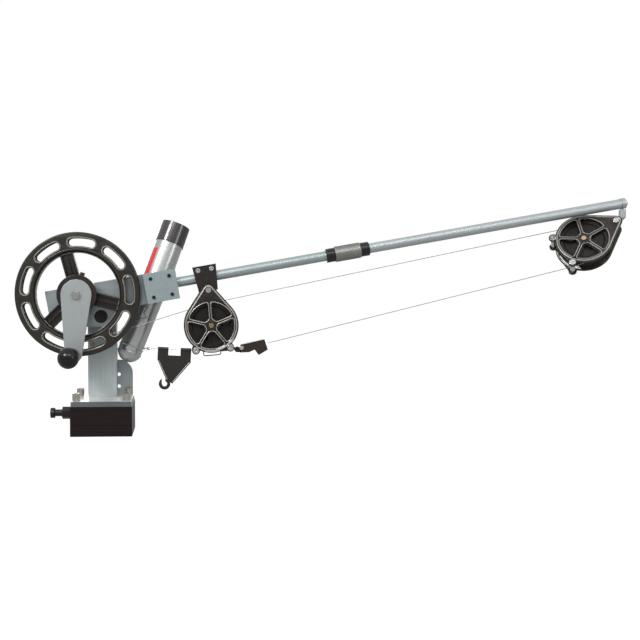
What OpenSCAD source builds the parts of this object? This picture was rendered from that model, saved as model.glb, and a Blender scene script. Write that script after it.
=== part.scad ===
// Manual downrigger: a cranked spool, a two-piece boom, two pulley blocks and a rod holder.
// Millimetres. +X runs out along the boom, +Y away from the crank side, +Z up.
// The origin is the centre of the fixed foot's underside.

/* [Base] */
// Width of the foot and the swivel block, along the boom
block_w = 106; // [98:1:130]
// Depth of the foot and the swivel block
block_d = 84; // [80:1:110]
// Height of the fixed foot
foot_h = 20; // [16:0.5:30]
// Height of the swivel block
block_h = 31.5; // [28:0.5:45]
// Thickness of the base plate
base_plate_t = 9; // [6:0.5:14]
// How far the base plate stands in from the block's sides
base_plate_inset = 1.3; // [0:0.1:4]
// Radius of the swivel post
post_r = 14; // [11:0.5:18]
// Radius of the swivel post's head
post_head_r = 20; // [19:0.5:23]
// Distance between the base screws along the boom
base_screw_dx = 87; // [80:1:90]
// Distance between the base screws across the boom
base_screw_dy = 62; // [58:1:62]
// Radius of a base screw's shank
base_screw_r = 4; // [3:0.25:5]
// Radius of a base screw's head
base_head_r = 6.5; // [5.5:0.25:7.5]
// Height of a base screw's head
base_head_h = 13; // [8:0.5:14]
// Distance between the deck bolts along the boom
deck_dx = 76; // [66:1:84]
// Distance between the deck bolts across the boom
deck_dy = 56; // [48:1:60]
// Radius of a threaded deck hole
deck_hole_r = 4; // [3:0.25:5]
// Depth of a threaded deck hole
deck_hole_depth = 14; // [8:0.5:15]

/* [Lock plunger] */
// Height of the plunger above the swivel block's underside
plunger_rise = 14.5; // [13:0.25:16]
// Width of the plunger's hexagon across its corners
plunger_hex_w = 22; // [18:0.5:26]
// Length of the plunger's hexagon
plunger_hex_l = 18.5; // [16:0.5:26]
// Radius of the plunger's thread
plunger_thread_r = 8; // [7:0.25:9]
// Radius of the lock pin
plunger_pin_r = 4; // [3:0.25:5]
// Radius of the pull stem outside the hexagon
plunger_stem_r = 6; // [4.5:0.25:7]
// Length of the pull stem outside the hexagon
plunger_stem_l = 13; // [12:0.5:20]
// Radius of the pull knob
plunger_knob_r = 9; // [7:0.25:11]
// Length of the pull knob
plunger_knob_l = 7.5; // [5:0.5:10]

/* [Column] */
// Width of the column
column_w = 50.5; // [46:0.5:60]
// Thickness of the column
column_t = 24.5; // [22:0.5:25]
// Height of the column above the base plate
column_h = 168; // [160:1:172]
// Place of the column's centre line along the boom
column_x = -2.7; // [-6:0.1:0]
// Height of the two face screws above the base plate
face_screw_rise = 94.5; // [80:0.5:100]
// Distance between the two face screws
face_screw_dx = 34.4; // [28:0.2:38]
// Width of the round-topped rear bracket
bracket_w = 49.6; // [44:0.2:52]
// Thickness of the rear bracket
bracket_t = 3.5; // [3:0.5:5]
// Height of the rear bracket above the base plate
bracket_h = 63.2; // [58:0.2:66]
// Place of the rear bracket's centre line along the boom
bracket_x = 24.6; // [21:0.2:25]
// Radius of the tilt bolt
tilt_bolt_r = 8; // [6:0.5:9]
// Radius of the tilt bolt's cap
tilt_cap_r = 11.5; // [10:0.5:13]
// Place of the tilt bolt along the boom
pivot_x = -2.2; // [-6:0.2:0]
// Distance from the column's top down to the tilt bolt
pivot_below = 24; // [22:0.5:28]

/* [Frame] */
// Angle of the frame and the boom above level
frame_tilt = 10; // [4:0.5:14]
// Height of the frame bar
bar_h = 52; // [48:1:56]
// Thickness of the frame bar
bar_t = 22; // [18:0.5:26]
// Height of the frame bar's centre line above the tilt bolt
bar_rise = 33.7; // [32:0.1:36]
// Length of the frame bar behind the tilt bolt
bar_back = 88; // [80:1:96]
// Length of the frame bar ahead of the tilt bolt
bar_front = 134.8; // [129:0.2:143]
// Thickness of the frame bar's walls
bar_wall = 5; // [4:0.5:7]
// Depth of the pivot lug below the tilt bolt
lug_drop = 18; // [15:0.5:20]
// Width of the pivot lug
lug_w = 53; // [46:1:58]
// Width of the boom socket and its cover plate
socket_w = 56; // [50:1:60]
// Thickness of the cover plate
cover_t = 4; // [3:0.5:6]
// Distance between the cover screws, both ways
cover_screw_d = 32; // [30:1:36]
// Radius of a cover screw's head
cover_head_r = 3; // [2.5:0.25:3.5]

/* [Boom] */
// Radius of the boom
boom_r = 8.6; // [8:0.1:10]
// Wall of the boom's tubes
boom_wall = 2; // [1.5:0.25:3]
// Height of the boom's axis above the tilt bolt
boom_rise = 35.6; // [34:0.1:38]
// Distance from the tilt bolt to the boom's end, along the boom
boom_end = 930; // [900:5:980]
// Distance from the tilt bolt to the middle of the coupler
coupler_at = 441.4; // [400:0.2:480]
// Length of the knurled coupler sleeve
coupler_l = 46; // [36:1:56]
// Radius of the coupler sleeve
coupler_r = 13.5; // [13:0.1:16]
// Length of each collar beside the coupler
collar_l = 15; // [10:0.5:20]
// Radius of each collar
collar_r = 12.1; // [11.5:0.1:13]
// Length of the disc on the boom's end
end_disc_l = 8; // [6:0.5:10]

/* [Spool] */
// Radius of the spool's rim
spool_r = 106.6; // [102:0.2:110]
// Width of the spool
spool_w = 23.5; // [20:0.5:28]
// Thickness of each spool flange
flange_t = 4.5; // [3:0.25:5]
// Radius of the opening inside the rim
spool_open_r = 71; // [68:0.5:72]
// Wall of the barrel that the cable is wound on
barrel_wall = 6; // [5:0.25:7]
// Mean radius of the ring of slots
slot_mid_r = 89.4; // [88:0.2:92]
// Width of each slot
slot_w = 13; // [9:0.2:14]
// Length of each slot
slot_l = 47; // [38:1:50]
// Width of a spoke
spoke_w = 23; // [18:0.5:28]
// Thickness of a spoke's web
spoke_t = 8; // [6:0.5:10]
// Width of the ribs along each spoke
spoke_rib_w = 3; // [2:0.25:4]
// Radius of the spool's hub
hub_r = 30; // [26:0.5:32]
// Place of the spool's axis along the bar, from the tilt bolt
spool_back = 30.2; // [28:0.2:33]
// Height of the spool's axis over the bar's centre line
spool_rise = 11.6; // [8:0.2:13]
// Radius of the spindle
spindle_r = 8; // [6:0.5:9]

/* [Crank] */
// Radius of the drag disc
drag_r = 34; // [31:0.5:38]
// Thickness of the drag disc
drag_t = 9; // [7:0.5:11]
// Thickness of the drag pad
pad_t = 1.5; // [1:0.25:2]
// Distance from the spindle to the knob
crank_r = 101; // [88:1:112]
// Radius of the crank arm's round end at the spindle
arm_top_r = 26; // [22:0.5:30]
// Radius of the crank arm's round end at the knob
arm_end_r = 14.6; // [13:0.2:18]
// Thickness of the crank arm
arm_t = 6; // [4:0.5:8]
// Radius of the knob's ball
knob_r = 17.5; // [15:0.5:20]
// Angle of the crank arm from straight down, towards the back
crank_angle = 3; // [0:0.5:20]
// Length of the knob
knob_l = 78; // [60:1:90]
// Radius of the knob's foot
knob_foot_r = 10; // [7:0.5:12]

/* [Rod holder] */
// Radius of the rod holder tube
rod_r = 25.4; // [24:0.2:27]
// Radius of the rod holder tube at its foot
rod_foot_r = 21.4; // [19:0.2:23]
// Length of the tapered part above the foot
rod_taper_l = 140; // [100:1:180]
// Wall of the rod holder tube at its foot
rod_wall = 2.5; // [1.5:0.25:4]
// Length of the rod holder tube above its domed end
rod_l = 245; // [220:1:260]
// Depth of the domed end
rod_dome = 17; // [12:0.5:20]
// Lean of the rod holder from upright
rod_lean = 23.1; // [20:0.1:24]
// Direction that the rod holder leans to, from the boom towards the back
rod_turn = 30.4; // [29:0.2:34]
// Length of the black sleeve on the rod holder
sleeve_l = 35; // [28:1:46]
// Wall of the sleeve
sleeve_wall = 1.5; // [1.2:0.1:3]
// Radius of the gimbal pin
gimbal_r = 2.5; // [2:0.25:4]

/* [Pulley blocks] */
// Radius of a block's round body
body_r = 47.2; // [46:0.2:50]
// Distance from a block's pivot to its sheave's axle
hub_drop = 61; // [58:0.5:66]
// Radius of a block's tip
tip_r = 10.4; // [9.5:0.2:12]
// Distance from the axle to each corner post
post_out = 50.3; // [50:0.1:52]
// Angle of each corner post from the long axis
post_angle = 36; // [32:1:42]
// Radius of each corner boss
boss_r = 7; // [6.5:0.25:8.5]
// Radius of each corner post
corner_r = 4.5; // [3.5:0.25:5]
// Thickness of a block's side plates
side_t = 4; // [3:0.25:5]
// Height of the lip round a side plate
lip_h = 1.2; // [0.6:0.2:2]
// Width of the lip round a side plate
lip_w = 2.4; // [1.6:0.2:3]
// Outer radius of the five openings
window_r = 39.4; // [36:0.2:41]
// Width of a spoke between two openings
rib_w = 6.75; // [5:0.25:8]
// Radius of the disc where the spokes meet
boss_disc_r = 11; // [9:0.25:13]
// Radius of a sheave
sheave_r = 41; // [39:0.25:42]
// Depth of a sheave's groove
groove_d = 5; // [4:0.25:6]
// Width of a sheave
sheave_w = 24; // [20:0.5:24]
// Radius of a sheave's axle
axle_r = 5; // [4:0.25:6]
// Thickness of a hanger plate
hanger_t = 4; // [3:0.25:4.5]
// Distance from the tilt bolt to the hanger, along the boom
hanger_at = 191.6; // [186:0.2:210]
// Distance between the hanger's screws
hanger_screw_d = 23.4; // [18:0.2:28]
// Distance from the boom's axis down to the near pivot
near_drop = 22; // [21:0.1:25]
// Lean of the near block out along the boom
near_lean = 4.7; // [0:0.1:6]

/* [Cable] */
// Radius of the cable
cable_r = 0.6; // [0.5:0.05:0.8]
// Turns of cable in the outer layer
wind_turns = 7; // [5:1:7]
// Distance between two turns of the outer layer
wind_pitch = 1.75; // [1.75:0.01:1.8]

/* [Line release and hook] */
// Thickness of each jaw of the line release
jaw_t = 5; // [4:0.25:6]
// Thickness of the hook plate
hook_t = 3; // [2:0.25:4]
// Radius of the tether wire
tether_r = 0.8; // [0.6:0.05:1]

/* [Hidden] */
$fn = 96;

// Clearances: a running or screw fit, a joint between two faces, and a loose gap
fit = 0.05;
seat = 0.3;
gap = 1.2;

// Heights of the base
block_z = foot_h;
plate_z = block_z + block_h;
deck_z = plate_z + base_plate_t;
plunger_z = block_z + plunger_rise;
post_head_t = 6;
groove = 1.2;

// Lock plunger
thread_l = 24;
plunger_face = -block_w / 2 - plunger_hex_l;
spring_room = plunger_pin_r + 2.4;
spring_turns = 6;

// Depths, from the spool's mid-plane, where the boom and the cable lie
line_y = -block_d / 4;
bar_y = line_y + spool_w / 2 + gap;
column_y = bar_y + bar_t;
bracket_y = column_y + column_t;
socket_t = 2 * (bar_y - line_y);
cover_y = bar_y - socket_t;
spool_y = line_y - spool_w / 2;
pad_y = spool_y - seat;
drag_y = pad_y - pad_t;
arm_y = drag_y - drag_t;
knob_y = arm_y - arm_t - seat;
spindle_tip_r = 5;
crank_washer_r = 8.2;
crank_hex_r = 6.5;

// Rear bracket: its two screws into the column, and the plain holes beside them
bracket_holes = [deck_z + 36.5, deck_z + 15];
bracket_screw_x = bracket_x - 14;
bracket_screw_l = 16;
column_head_r = 5.5;
column_head_h = 3.5;
screw_sink = column_head_h + seat;

// Heights and places on the tilting frame
pivot = [pivot_x, 0, deck_z + column_h - pivot_below];
function on_frame(x, y, z) = pivot
  + [x * cos(frame_tilt) - z * sin(frame_tilt), y, x * sin(frame_tilt) + z * cos(frame_tilt)];
spool_at = on_frame(-spool_back, 0, bar_rise + spool_rise);
cover_over = 7;
socket_short = 3.4;
socket_x = bar_front + cover_over - socket_w / 2;
socket_h = bar_h - 1;

bar_low = bar_rise - bar_h / 2;
function lug_meets(x) = (x + bar_low * sin(frame_tilt)) / cos(frame_tilt);

// Boom
boom_start = socket_x - socket_w / 2 + 6.5;
sleeve_a = coupler_at - coupler_l / 2;
sleeve_b = coupler_at + coupler_l / 2;
spigot_l = 120;

// Spool
barrel_r = spool_open_r + barrel_wall;
channel_w = spool_w - 2 * flange_t;
slot_count = 9;
slot_start = 85;
spoke_start = 105;
spoke_count = 3;
spoke_end = spool_open_r + barrel_wall / 2;
bevel = 5;

// Winding: its core is small enough for the flats of a loop of 24 rings
wind_sides = 6;
wind_steps = 24;
wind_r = slot_mid_r - slot_w / 2 - cable_r + 0.2;
core_r = wind_r * cos(180 / wind_steps) - cable_r - seat;

// Pulley blocks: hanger plates beside the boom, and the side plates outside them
hanger_y = boom_r + 0.1;
inner_y = hanger_y + hanger_t + seat;
outer_y = inner_y + side_t;
hanger_screw_z = near_drop + boom_r + 5;
hanger_w = 41.2;
hanger_low_w = 33;
hanger_eye_r = 12.6;
pivot_r = 3.2;
pivot_head_r = 4.8;
axle_head_r = 4.2;
corner_head_r = boss_r - 1.6;
eye_y = 4;
window_count = 5;
pitch_r = sheave_r - groove_d + cable_r + 0.1;
groove_arc = 7;
near_at = on_frame(hanger_at, line_y, boom_rise - near_drop);
swivel_x = boom_end + 2.6;
swivel_top = on_frame(swivel_x, line_y, boom_rise - boom_r - 0.8);
far_at = swivel_top + [-11, 0, -28.8];
far_yaw = 9;
far_drop = 60;
far_twist = 32;

function turn_y(v, a) = [v[0] * cos(a) + v[2] * sin(a), v[1], v[2] * cos(a) - v[0] * sin(a)];
function turn_z(v, a) = [v[0] * cos(a) - v[1] * sin(a), v[0] * sin(a) + v[1] * cos(a), v[2]];
function near_dir(v) = turn_y(v, -near_lean);
function far_dir(v) = turn_z(turn_y(turn_z(v, -far_twist), far_drop), -far_yaw);
post_xz = [post_out * sin(post_angle), -hub_drop - post_out * cos(post_angle)];
near_post_l = near_at + near_dir([-post_xz[0], 0, post_xz[1]]);
near_post_r = near_at + near_dir([post_xz[0], 0, post_xz[1]]);

// Line release: its pin, its screw and the corner that holds the cable
release_pin = near_post_r + [13, 0, -5];
release_screw_at = release_pin + [7, 0, 3.5];
release_end = release_pin + [53, 0, 11];

// Rod holder
rod_foot = [44.3, column_y + 9, pivot[2] - 66.7];
rod_bore_r = rod_foot_r - rod_wall;
rod_neck = rod_l - sleeve_l;
butt_z = 20;
gimbal_z = 12;
gimbal_turn = 20;
sleeve_lip = 3;
saddle_x = 92;
saddle_w = 44;
saddle_h = 40;
saddle_d = 34;
strap_w = 100;
strap_h = 24;
strap_wall = 5;

// Tether: from the loop round the rod holder to the near block's corner post
tether_end = near_post_l + [-corner_r - tether_r, 0, -1];
tether_in = [88, line_y, pivot[2] - 54.5];
tether_route = concat([for (p = [[-27, 27.5, -3], [-24, 21.5, -3], [-19.5, 14.5, -2], [-14.5, 8.5, -1],
  [-9, 3, 0], [-4, 0.5, 0]]) tether_in + p], [tether_in, tether_end]);
tether_fall = atan2(tether_in[2] - tether_end[2], tether_end[0] - tether_in[0]);
hook_in = 9;
hook_w = 58;
tab_w = 18.5;
tab_h = 11;
hook_left = 19;
hook_right = 22;
hook_heel = [17, -54];
hook_toe = [28, -60];
hook_centre = [14.5, -61];
barrel_out_r = 3;
hook_out_r = 10;
hook_in_r = 4.5;

// Cable: the spool's underside, over both sheaves and back to the line release
function unit(v) = v / norm(v);
near_hub = near_at + near_dir([0, 0, -hub_drop]);
far_hub = far_at + far_dir([0, 0, -hub_drop]);
spool_to_near = [near_hub[0] - spool_at[0], 0, near_hub[2] - spool_at[2]];
rise_in = atan2(spool_to_near[2], spool_to_near[0])
  + asin((wind_r + pitch_r) / norm(spool_to_near));
rise_out = atan2(far_hub[2] - near_hub[2], far_hub[0] - near_hub[0]);
wind_half = wind_turns * wind_pitch / 2;
wind_end = rise_in - 90;
function near_touch(a) = near_hub + pitch_r * [-sin(a), 0, cos(a)];
far_x = far_dir([1, 0, 0]);
far_z = far_dir([0, 0, 1]);
function far_touch(a) = far_hub + pitch_r * (cos(a) * far_x + sin(a) * far_z);
function far_tangent(p, side) = let (d = p - far_hub, a = d * far_x, b = d * far_z)
  atan2(b, a) + side * acos(pitch_r / norm([a, b]));
far_up = far_tangent(near_touch(rise_out), -1) + 360;
far_y = far_dir([0, 1, 0]);
release_side = (release_end - far_at) * far_y;
release_below = (release_end - far_at) * far_z;
far_guide = far_at + far_dir([post_xz[0] + corner_r + cable_r + 0.5,
  release_side * (post_xz[1] + hub_drop) / (release_below + hub_drop), post_xz[1]]);
far_low = far_tangent(far_guide, 1);
cable_start = [spool_at[0] + wind_r * cos(wind_end), line_y - wind_half,
  spool_at[2] + wind_r * sin(wind_end)];
cable_route = concat([cable_start + 0.4 * [cos(rise_in), 0, sin(rise_in)]],
  [for (i = [0:3]) near_touch(rise_in + (rise_out - rise_in) * i / 3)],
  [for (i = [0:24]) far_touch(far_up + (far_low - far_up) * i / 24)],
  [far_guide, release_end]);

// Winding: one unbroken helix from the back flange to the cable's start
wind_rings = wind_turns * wind_steps;
wind_route = [for (i = [0:wind_rings]) let (a = wind_end - 360 / wind_steps * (wind_rings - i))
  [spool_at[0] + wind_r * cos(a),
   line_y + wind_half - 2 * wind_half * i / wind_rings,
   spool_at[2] + wind_r * sin(a)]];
wind_gap = min([for (i = [0:wind_rings - wind_steps]) for (j = [-1:1])
  let (k = i + wind_steps + j) k > wind_rings ? 99 : norm(wind_route[i] - wind_route[k])])
  - 2 * cable_r;
echo(least_gap_between_turns = wind_gap);

// Cylinder along Y from a to b
module pin_y(r, a, b, x = 0, z = 0) {
  translate([x, a, z]) rotate([-90, 0, 0]) cylinder(r = r, h = b - a);
}

// Flat outline in X and Z, thickened along Y from a to b
module slab_y(a, b) {
  translate([0, b, 0]) rotate([90, 0, 0]) linear_extrude(b - a) children();
}

// Hexagon along Y from a to b
module hex_y(r, a, b, x = 0, z = 0) {
  translate([x, a, z]) rotate([-90, 0, 0]) cylinder(r = r, h = b - a, $fn = 6);
}

// Ring along X from a to b
module ring_x(r, bore, a, b) {
  translate([a, 0, 0]) rotate([0, 90, 0]) difference() {
    cylinder(r = r, h = b - a);
    if (bore > 0) translate([0, 0, -1]) cylinder(r = bore, h = b - a + 2);
  }
}

// Points on an arc from angle a to angle b
function arc(centre, r, a, b, steps) =
  [for (i = [0:steps]) let (t = a + (b - a) * i / steps) centre + r * [cos(t), sin(t)]];

// Outline of two circles and their tangents: the first at the origin, the second below it
function link_points(r1, r2, d) = let (lean = acos((r2 - r1) / d))
  concat(arc([0, 0], r1, 90 - lean, 90 + lean, 24), arc([0, -d], r2, 90 + lean, 450 - lean, 36));

// One slot's outline, bent round the spool's axis
slot_half = (slot_l - slot_w) / 2 / slot_mid_r * 180 / PI;
slot_points = concat(
  arc([0, 0], slot_mid_r + slot_w / 2, -slot_half, slot_half, 16),
  arc(slot_mid_r * [cos(slot_half), sin(slot_half)], slot_w / 2, slot_half + 15, slot_half + 165, 10),
  arc([0, 0], slot_mid_r - slot_w / 2, slot_half, -slot_half, 16),
  arc(slot_mid_r * [cos(slot_half), -sin(slot_half)], slot_w / 2, 195 - slot_half, 345 - slot_half, 10));

// Round tube along a route, its rings turned from the Y axis
module tube(route, r, sides) {
  last = len(route) - 1;
  points = [for (i = [0:last])
    let (t = unit(route[min(i + 1, last)] - route[max(i - 1, 0)]),
         s = unit(cross(t, [0, 1, 0])), u = cross(t, s))
    for (k = [0:sides - 1]) route[i] + r * (cos(360 * k / sides) * s + sin(360 * k / sides) * u)];
  walls = [for (i = [0:last - 1]) for (k = [0:sides - 1])
    let (a = i * sides + k, b = i * sides + (k + 1) % sides)
    each [[a, a + sides, b + sides], [a, b + sides, b]]];
  caps = [for (k = [1:sides - 2]) each [[0, k, k + 1],
    [last * sides, last * sides + k + 1, last * sides + k]]];
  polyhedron(points = points, faces = concat(walls, caps));
}

module tilted() {
  translate(pivot) rotate([0, -frame_tilt, 0]) children();
}

module at_spool() {
  translate([spool_at[0], 0, spool_at[2]]) children();
}

module at_crank() {
  at_spool() rotate([0, crank_angle, 0]) children();
}

module near_block() {
  translate(near_at) rotate([0, -near_lean, 0]) children();
}

module far_block() {
  translate(far_at) rotate([0, 0, -far_yaw]) rotate([0, far_drop, 0]) rotate([0, 0, -far_twist])
    children();
}

module on_rod() {
  translate(rod_foot) rotate([0, rod_lean, rod_turn]) children();
}

module four(dx, dy) {
  for (x = [-dx / 2, dx / 2]) for (y = [-dy / 2, dy / 2]) translate([x, y, 0]) children();
}

// Base

module base_foot() color("#1c1718") difference() {
  translate([-block_w / 2, -block_d / 2, 0]) cube([block_w, block_d, foot_h]);
  for (side = [-1, 1]) translate([-block_w / 2 - 1, side * block_d / 2 - groove, foot_h - groove])
    cube([block_w + 2, 2 * groove, 2 * groove]);
  translate([0, 0, 4]) cylinder(r = post_r + fit, h = foot_h);
  four(deck_dx, deck_dy) translate([0, 0, -1]) cylinder(r = deck_hole_r, h = deck_hole_depth + 1);
}

module swivel_post() color("silver") {
  translate([0, 0, 4]) cylinder(r = post_r, h = plate_z - post_head_t - seat - 4);
  translate([0, 0, plate_z - post_head_t - seat]) cylinder(r = post_head_r - seat, h = post_head_t);
}

module swivel_block() color("#1f191a") difference() {
  translate([-block_w / 2, -block_d / 2, block_z]) cube([block_w, block_d, block_h]);
  for (side = [-1, 1]) translate([-block_w / 2 - 1, side * block_d / 2 - groove / 2,
    plate_z - 7]) cube([block_w + 2, groove, groove]);
  translate([0, 0, block_z - 1]) cylinder(r = post_r + fit, h = block_h + 2);
  translate([0, 0, plate_z - post_head_t - seat]) cylinder(r = post_head_r, h = post_head_t + 1);
  four(base_screw_dx, base_screw_dy) translate([0, 0, block_z + 6])
    cylinder(r = base_screw_r + fit, h = block_h);
  translate([-block_w / 2 - 1, 0, plunger_z]) rotate([0, 90, 0])
    cylinder(r = plunger_thread_r + fit, h = thread_l + 1 + seat);
  translate([-block_w / 2, 0, plunger_z]) rotate([0, 90, 0])
    cylinder(r = plunger_pin_r + fit, h = block_w / 2);
}

module base_plate() color("#8b979b") difference() {
  translate([base_plate_inset - block_w / 2, -block_d / 2, plate_z])
    cube([block_w - 2 * base_plate_inset, block_d, base_plate_t]);
  four(base_screw_dx, base_screw_dy) translate([0, 0, plate_z - 1])
    cylinder(r = base_screw_r + fit, h = base_plate_t + 2);
}

module base_screws() color("#cfc8bd") four(base_screw_dx, base_screw_dy) difference() {
  union() {
    translate([0, 0, block_z + 7]) cylinder(r = base_screw_r, h = deck_z - block_z - 7);
    translate([0, 0, deck_z]) cylinder(r = base_head_r, h = base_head_h);
  }
  translate([0, 0, deck_z + base_head_h / 2]) cylinder(r = base_screw_r, h = base_head_h, $fn = 6);
}

// Lock plunger: the pin rides on the swivel post, and is drawn out along -X
module plunger_body() color("#241f1f") difference() {
  translate([0, 0, plunger_z]) rotate([0, 90, 0]) union() {
    translate([0, 0, -block_w / 2]) cylinder(r = plunger_thread_r, h = thread_l);
    translate([0, 0, plunger_face]) cylinder(r = plunger_hex_w / 2, h = plunger_hex_l, $fn = 6);
  }
  translate([plunger_face - 1, 0, plunger_z]) rotate([0, 90, 0])
    cylinder(r = plunger_pin_r + fit, h = plunger_hex_l + thread_l + 2);
  translate([plunger_face + 6, 0, plunger_z]) rotate([0, 90, 0])
    cylinder(r = spring_room, h = plunger_hex_l + thread_l - 9);
}

module plunger_pin() color("#2a2424") translate([0, 0, plunger_z]) rotate([0, 90, 0]) {
  translate([0, 0, plunger_face - plunger_stem_l])
    cylinder(r = plunger_pin_r, h = -post_r - seat - plunger_face + plunger_stem_l);
  translate([0, 0, plunger_face - plunger_stem_l])
    cylinder(r = plunger_stem_r, h = plunger_stem_l - seat);
  translate([0, 0, plunger_face - plunger_stem_l - plunger_knob_l])
    cylinder(r = plunger_knob_r, h = plunger_knob_l);
  translate([0, 0, plunger_face + plunger_hex_l + thread_l - 6])
    cylinder(r = spring_room - 0.2, h = 2.6);
}

module plunger_spring() color("silver") {
  spring_a = plunger_face + 7;
  spring_b = plunger_face + plunger_hex_l + thread_l - 7;
  coil_r = plunger_pin_r + 1.2;
  tube([for (i = [0:spring_turns * 8]) let (f = i / (spring_turns * 8))
    [spring_a + (spring_b - spring_a) * f, coil_r * cos(360 * spring_turns * f),
     plunger_z + coil_r * sin(360 * spring_turns * f)]], 0.6, 6);
}

// Column

module column() color("#93a0a4") difference() {
  slab_y(column_y, bracket_y) union() {
    translate([column_x - column_w / 2, deck_z]) square([column_w, column_h - 8]);
    translate([column_x - column_w / 2 + 8, deck_z]) square([column_w - 16, column_h]);
    for (side = [-1, 1]) translate([column_x + side * (column_w / 2 - 8), deck_z + column_h - 8])
      circle(r = 8);
  }
  pin_y(tilt_bolt_r + fit, column_y - 1, bracket_y + 1, pivot[0], pivot[2]);
  for (x = [-1, 1]) translate([column_x + x * face_screw_dx / 2, column_y, deck_z + face_screw_rise]) {
    pin_y(3 + fit, -1, screw_sink + bracket_screw_l + 1);
    pin_y(column_head_r + fit, -1, screw_sink);
  }
  for (z = bracket_holes) pin_y(3 + fit, bracket_y + bracket_t - bracket_screw_l - 1, bracket_y + 1,
    bracket_screw_x, z);
}

module rear_bracket() color("#a3adaf") difference() {
  slab_y(bracket_y, bracket_y + bracket_t) union() {
    translate([bracket_x - bracket_w / 2, deck_z]) square([bracket_w, bracket_h - bracket_w / 2]);
    translate([bracket_x, deck_z + bracket_h - bracket_w / 2]) circle(r = bracket_w / 2);
  }
  for (z = bracket_holes) for (x = [bracket_x, bracket_screw_x])
    pin_y(3 + fit, bracket_y - 1, bracket_y + bracket_t + 1, x, z);
}

// Column screws: a pair in the column's face, and a pair through the rear bracket
module column_screw() difference() {
  union() {
    pin_y(3, 0, bracket_screw_l);
    pin_y(column_head_r, -column_head_h, 0);
  }
  hex_y(2.6, -column_head_h - 1, -1.5);
}

module column_screws() color("#a8a29a") {
  for (x = [-1, 1]) translate([column_x + x * face_screw_dx / 2, column_y + screw_sink,
    deck_z + face_screw_rise]) column_screw();
  for (z = bracket_holes) translate([bracket_screw_x, bracket_y + bracket_t, z])
    rotate([0, 0, 180]) column_screw();
}

module tilt_bolt() color("silver") translate([pivot[0], 0, pivot[2]]) {
  pin_y(tilt_bolt_r, bar_y, bracket_y + 12);
  hex_y(13, bracket_y + seat, bracket_y + 9);
}

module tilt_cap() color("#3b2f2c") translate([pivot[0], 0, pivot[2]])
  pin_y(tilt_cap_r, bar_y - gap + 0.5, bar_y);

// Frame

module frame() color("#8796a0") difference() {
  slab_y(bar_y, column_y) polygon([for (p = [on_frame(-bar_back, 0, bar_low),
      on_frame(lug_meets(-lug_w / 2), 0, bar_low), pivot + [-lug_w / 2, 0, -lug_drop],
      pivot + [lug_w / 2, 0, -lug_drop], on_frame(lug_meets(lug_w / 2), 0, bar_low),
      on_frame(bar_front, 0, bar_low), on_frame(bar_front, 0, bar_low + bar_h),
      on_frame(-bar_back, 0, bar_low + bar_h)]) [p[0], p[2]]]);
  tilted() translate([tilt_bolt_r + 12, bar_y + bar_wall, bar_rise - bar_h / 2 + bar_wall])
    cube([bar_front - tilt_bolt_r - 12 + 1, bar_t - 2 * bar_wall, bar_h - 2 * bar_wall]);
  pin_y(tilt_bolt_r + fit, bar_y - 1, column_y + 1, pivot[0], pivot[2]);
  at_spool() pin_y(spindle_r + fit, bar_y - 1, column_y + 1);
  tilted() for (x = [-1, 1]) for (z = [-1, 1]) pin_y(2 + fit, bar_y - 1, bar_y + bar_wall + 1,
    socket_x + x * cover_screw_d / 2, bar_rise + z * cover_screw_d / 2);
}

module boom_socket() color("#7c8990") tilted() difference() {
  slab_y(cover_y, bar_y) translate([socket_x - socket_w / 2, bar_rise - socket_h / 2])
    square([socket_w - socket_short, socket_h]);
  translate([socket_x - socket_w / 2 + 6, line_y, boom_rise]) ring_x(boom_r + fit, 0, 0, socket_w);
  for (x = [-1, 1]) for (z = [-1, 1]) pin_y(2 + fit, cover_y - 1, bar_y + 1,
    socket_x + x * cover_screw_d / 2, bar_rise + z * cover_screw_d / 2);
}

module cover_plate() color("#9aa7ad") tilted() difference() {
  slab_y(cover_y - cover_t, cover_y) translate([socket_x - socket_w / 2, bar_rise - socket_h / 2])
    square([socket_w, socket_h]);
  for (x = [-1, 1]) for (z = [-1, 1]) pin_y(2 + fit, cover_y - cover_t - 1, cover_y + 1,
    socket_x + x * cover_screw_d / 2, bar_rise + z * cover_screw_d / 2);
}

module cover_screws() color("#3a3d40") tilted() for (x = [-1, 1]) for (z = [-1, 1])
  translate([socket_x + x * cover_screw_d / 2, 0, bar_rise + z * cover_screw_d / 2])
    difference() {
      union() {
        pin_y(2, cover_y - cover_t, bar_y + bar_wall);
        pin_y(cover_head_r, cover_y - cover_t - 1.6, cover_y - cover_t);
      }
      hex_y(1.5, cover_y - cover_t - 2, cover_y - cover_t - 0.6);
    }

// Boom

module on_boom() {
  tilted() translate([0, line_y, boom_rise]) children();
}

module inner_boom() color("#93a0a6") on_boom()
  ring_x(boom_r, boom_r - boom_wall, boom_start, coupler_at - seat);

module outer_boom() color("#93a0a6") on_boom()
  ring_x(boom_r, boom_r - boom_wall, coupler_at + seat, boom_end);

module boom_spigot() color("silver") on_boom()
  ring_x(boom_r - boom_wall - fit, 0, coupler_at - spigot_l / 2, coupler_at + spigot_l / 2);

module coupler_sleeve() color("#3c3f42") on_boom()
  ring_x(coupler_r, boom_r + fit, sleeve_a + seat, sleeve_b - seat);

module boom_collars() color("#55595c") on_boom() {
  ring_x(collar_r, boom_r + fit, sleeve_a - collar_l, sleeve_a);
  ring_x(collar_r, boom_r + fit, sleeve_b, sleeve_b + collar_l);
}

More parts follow.
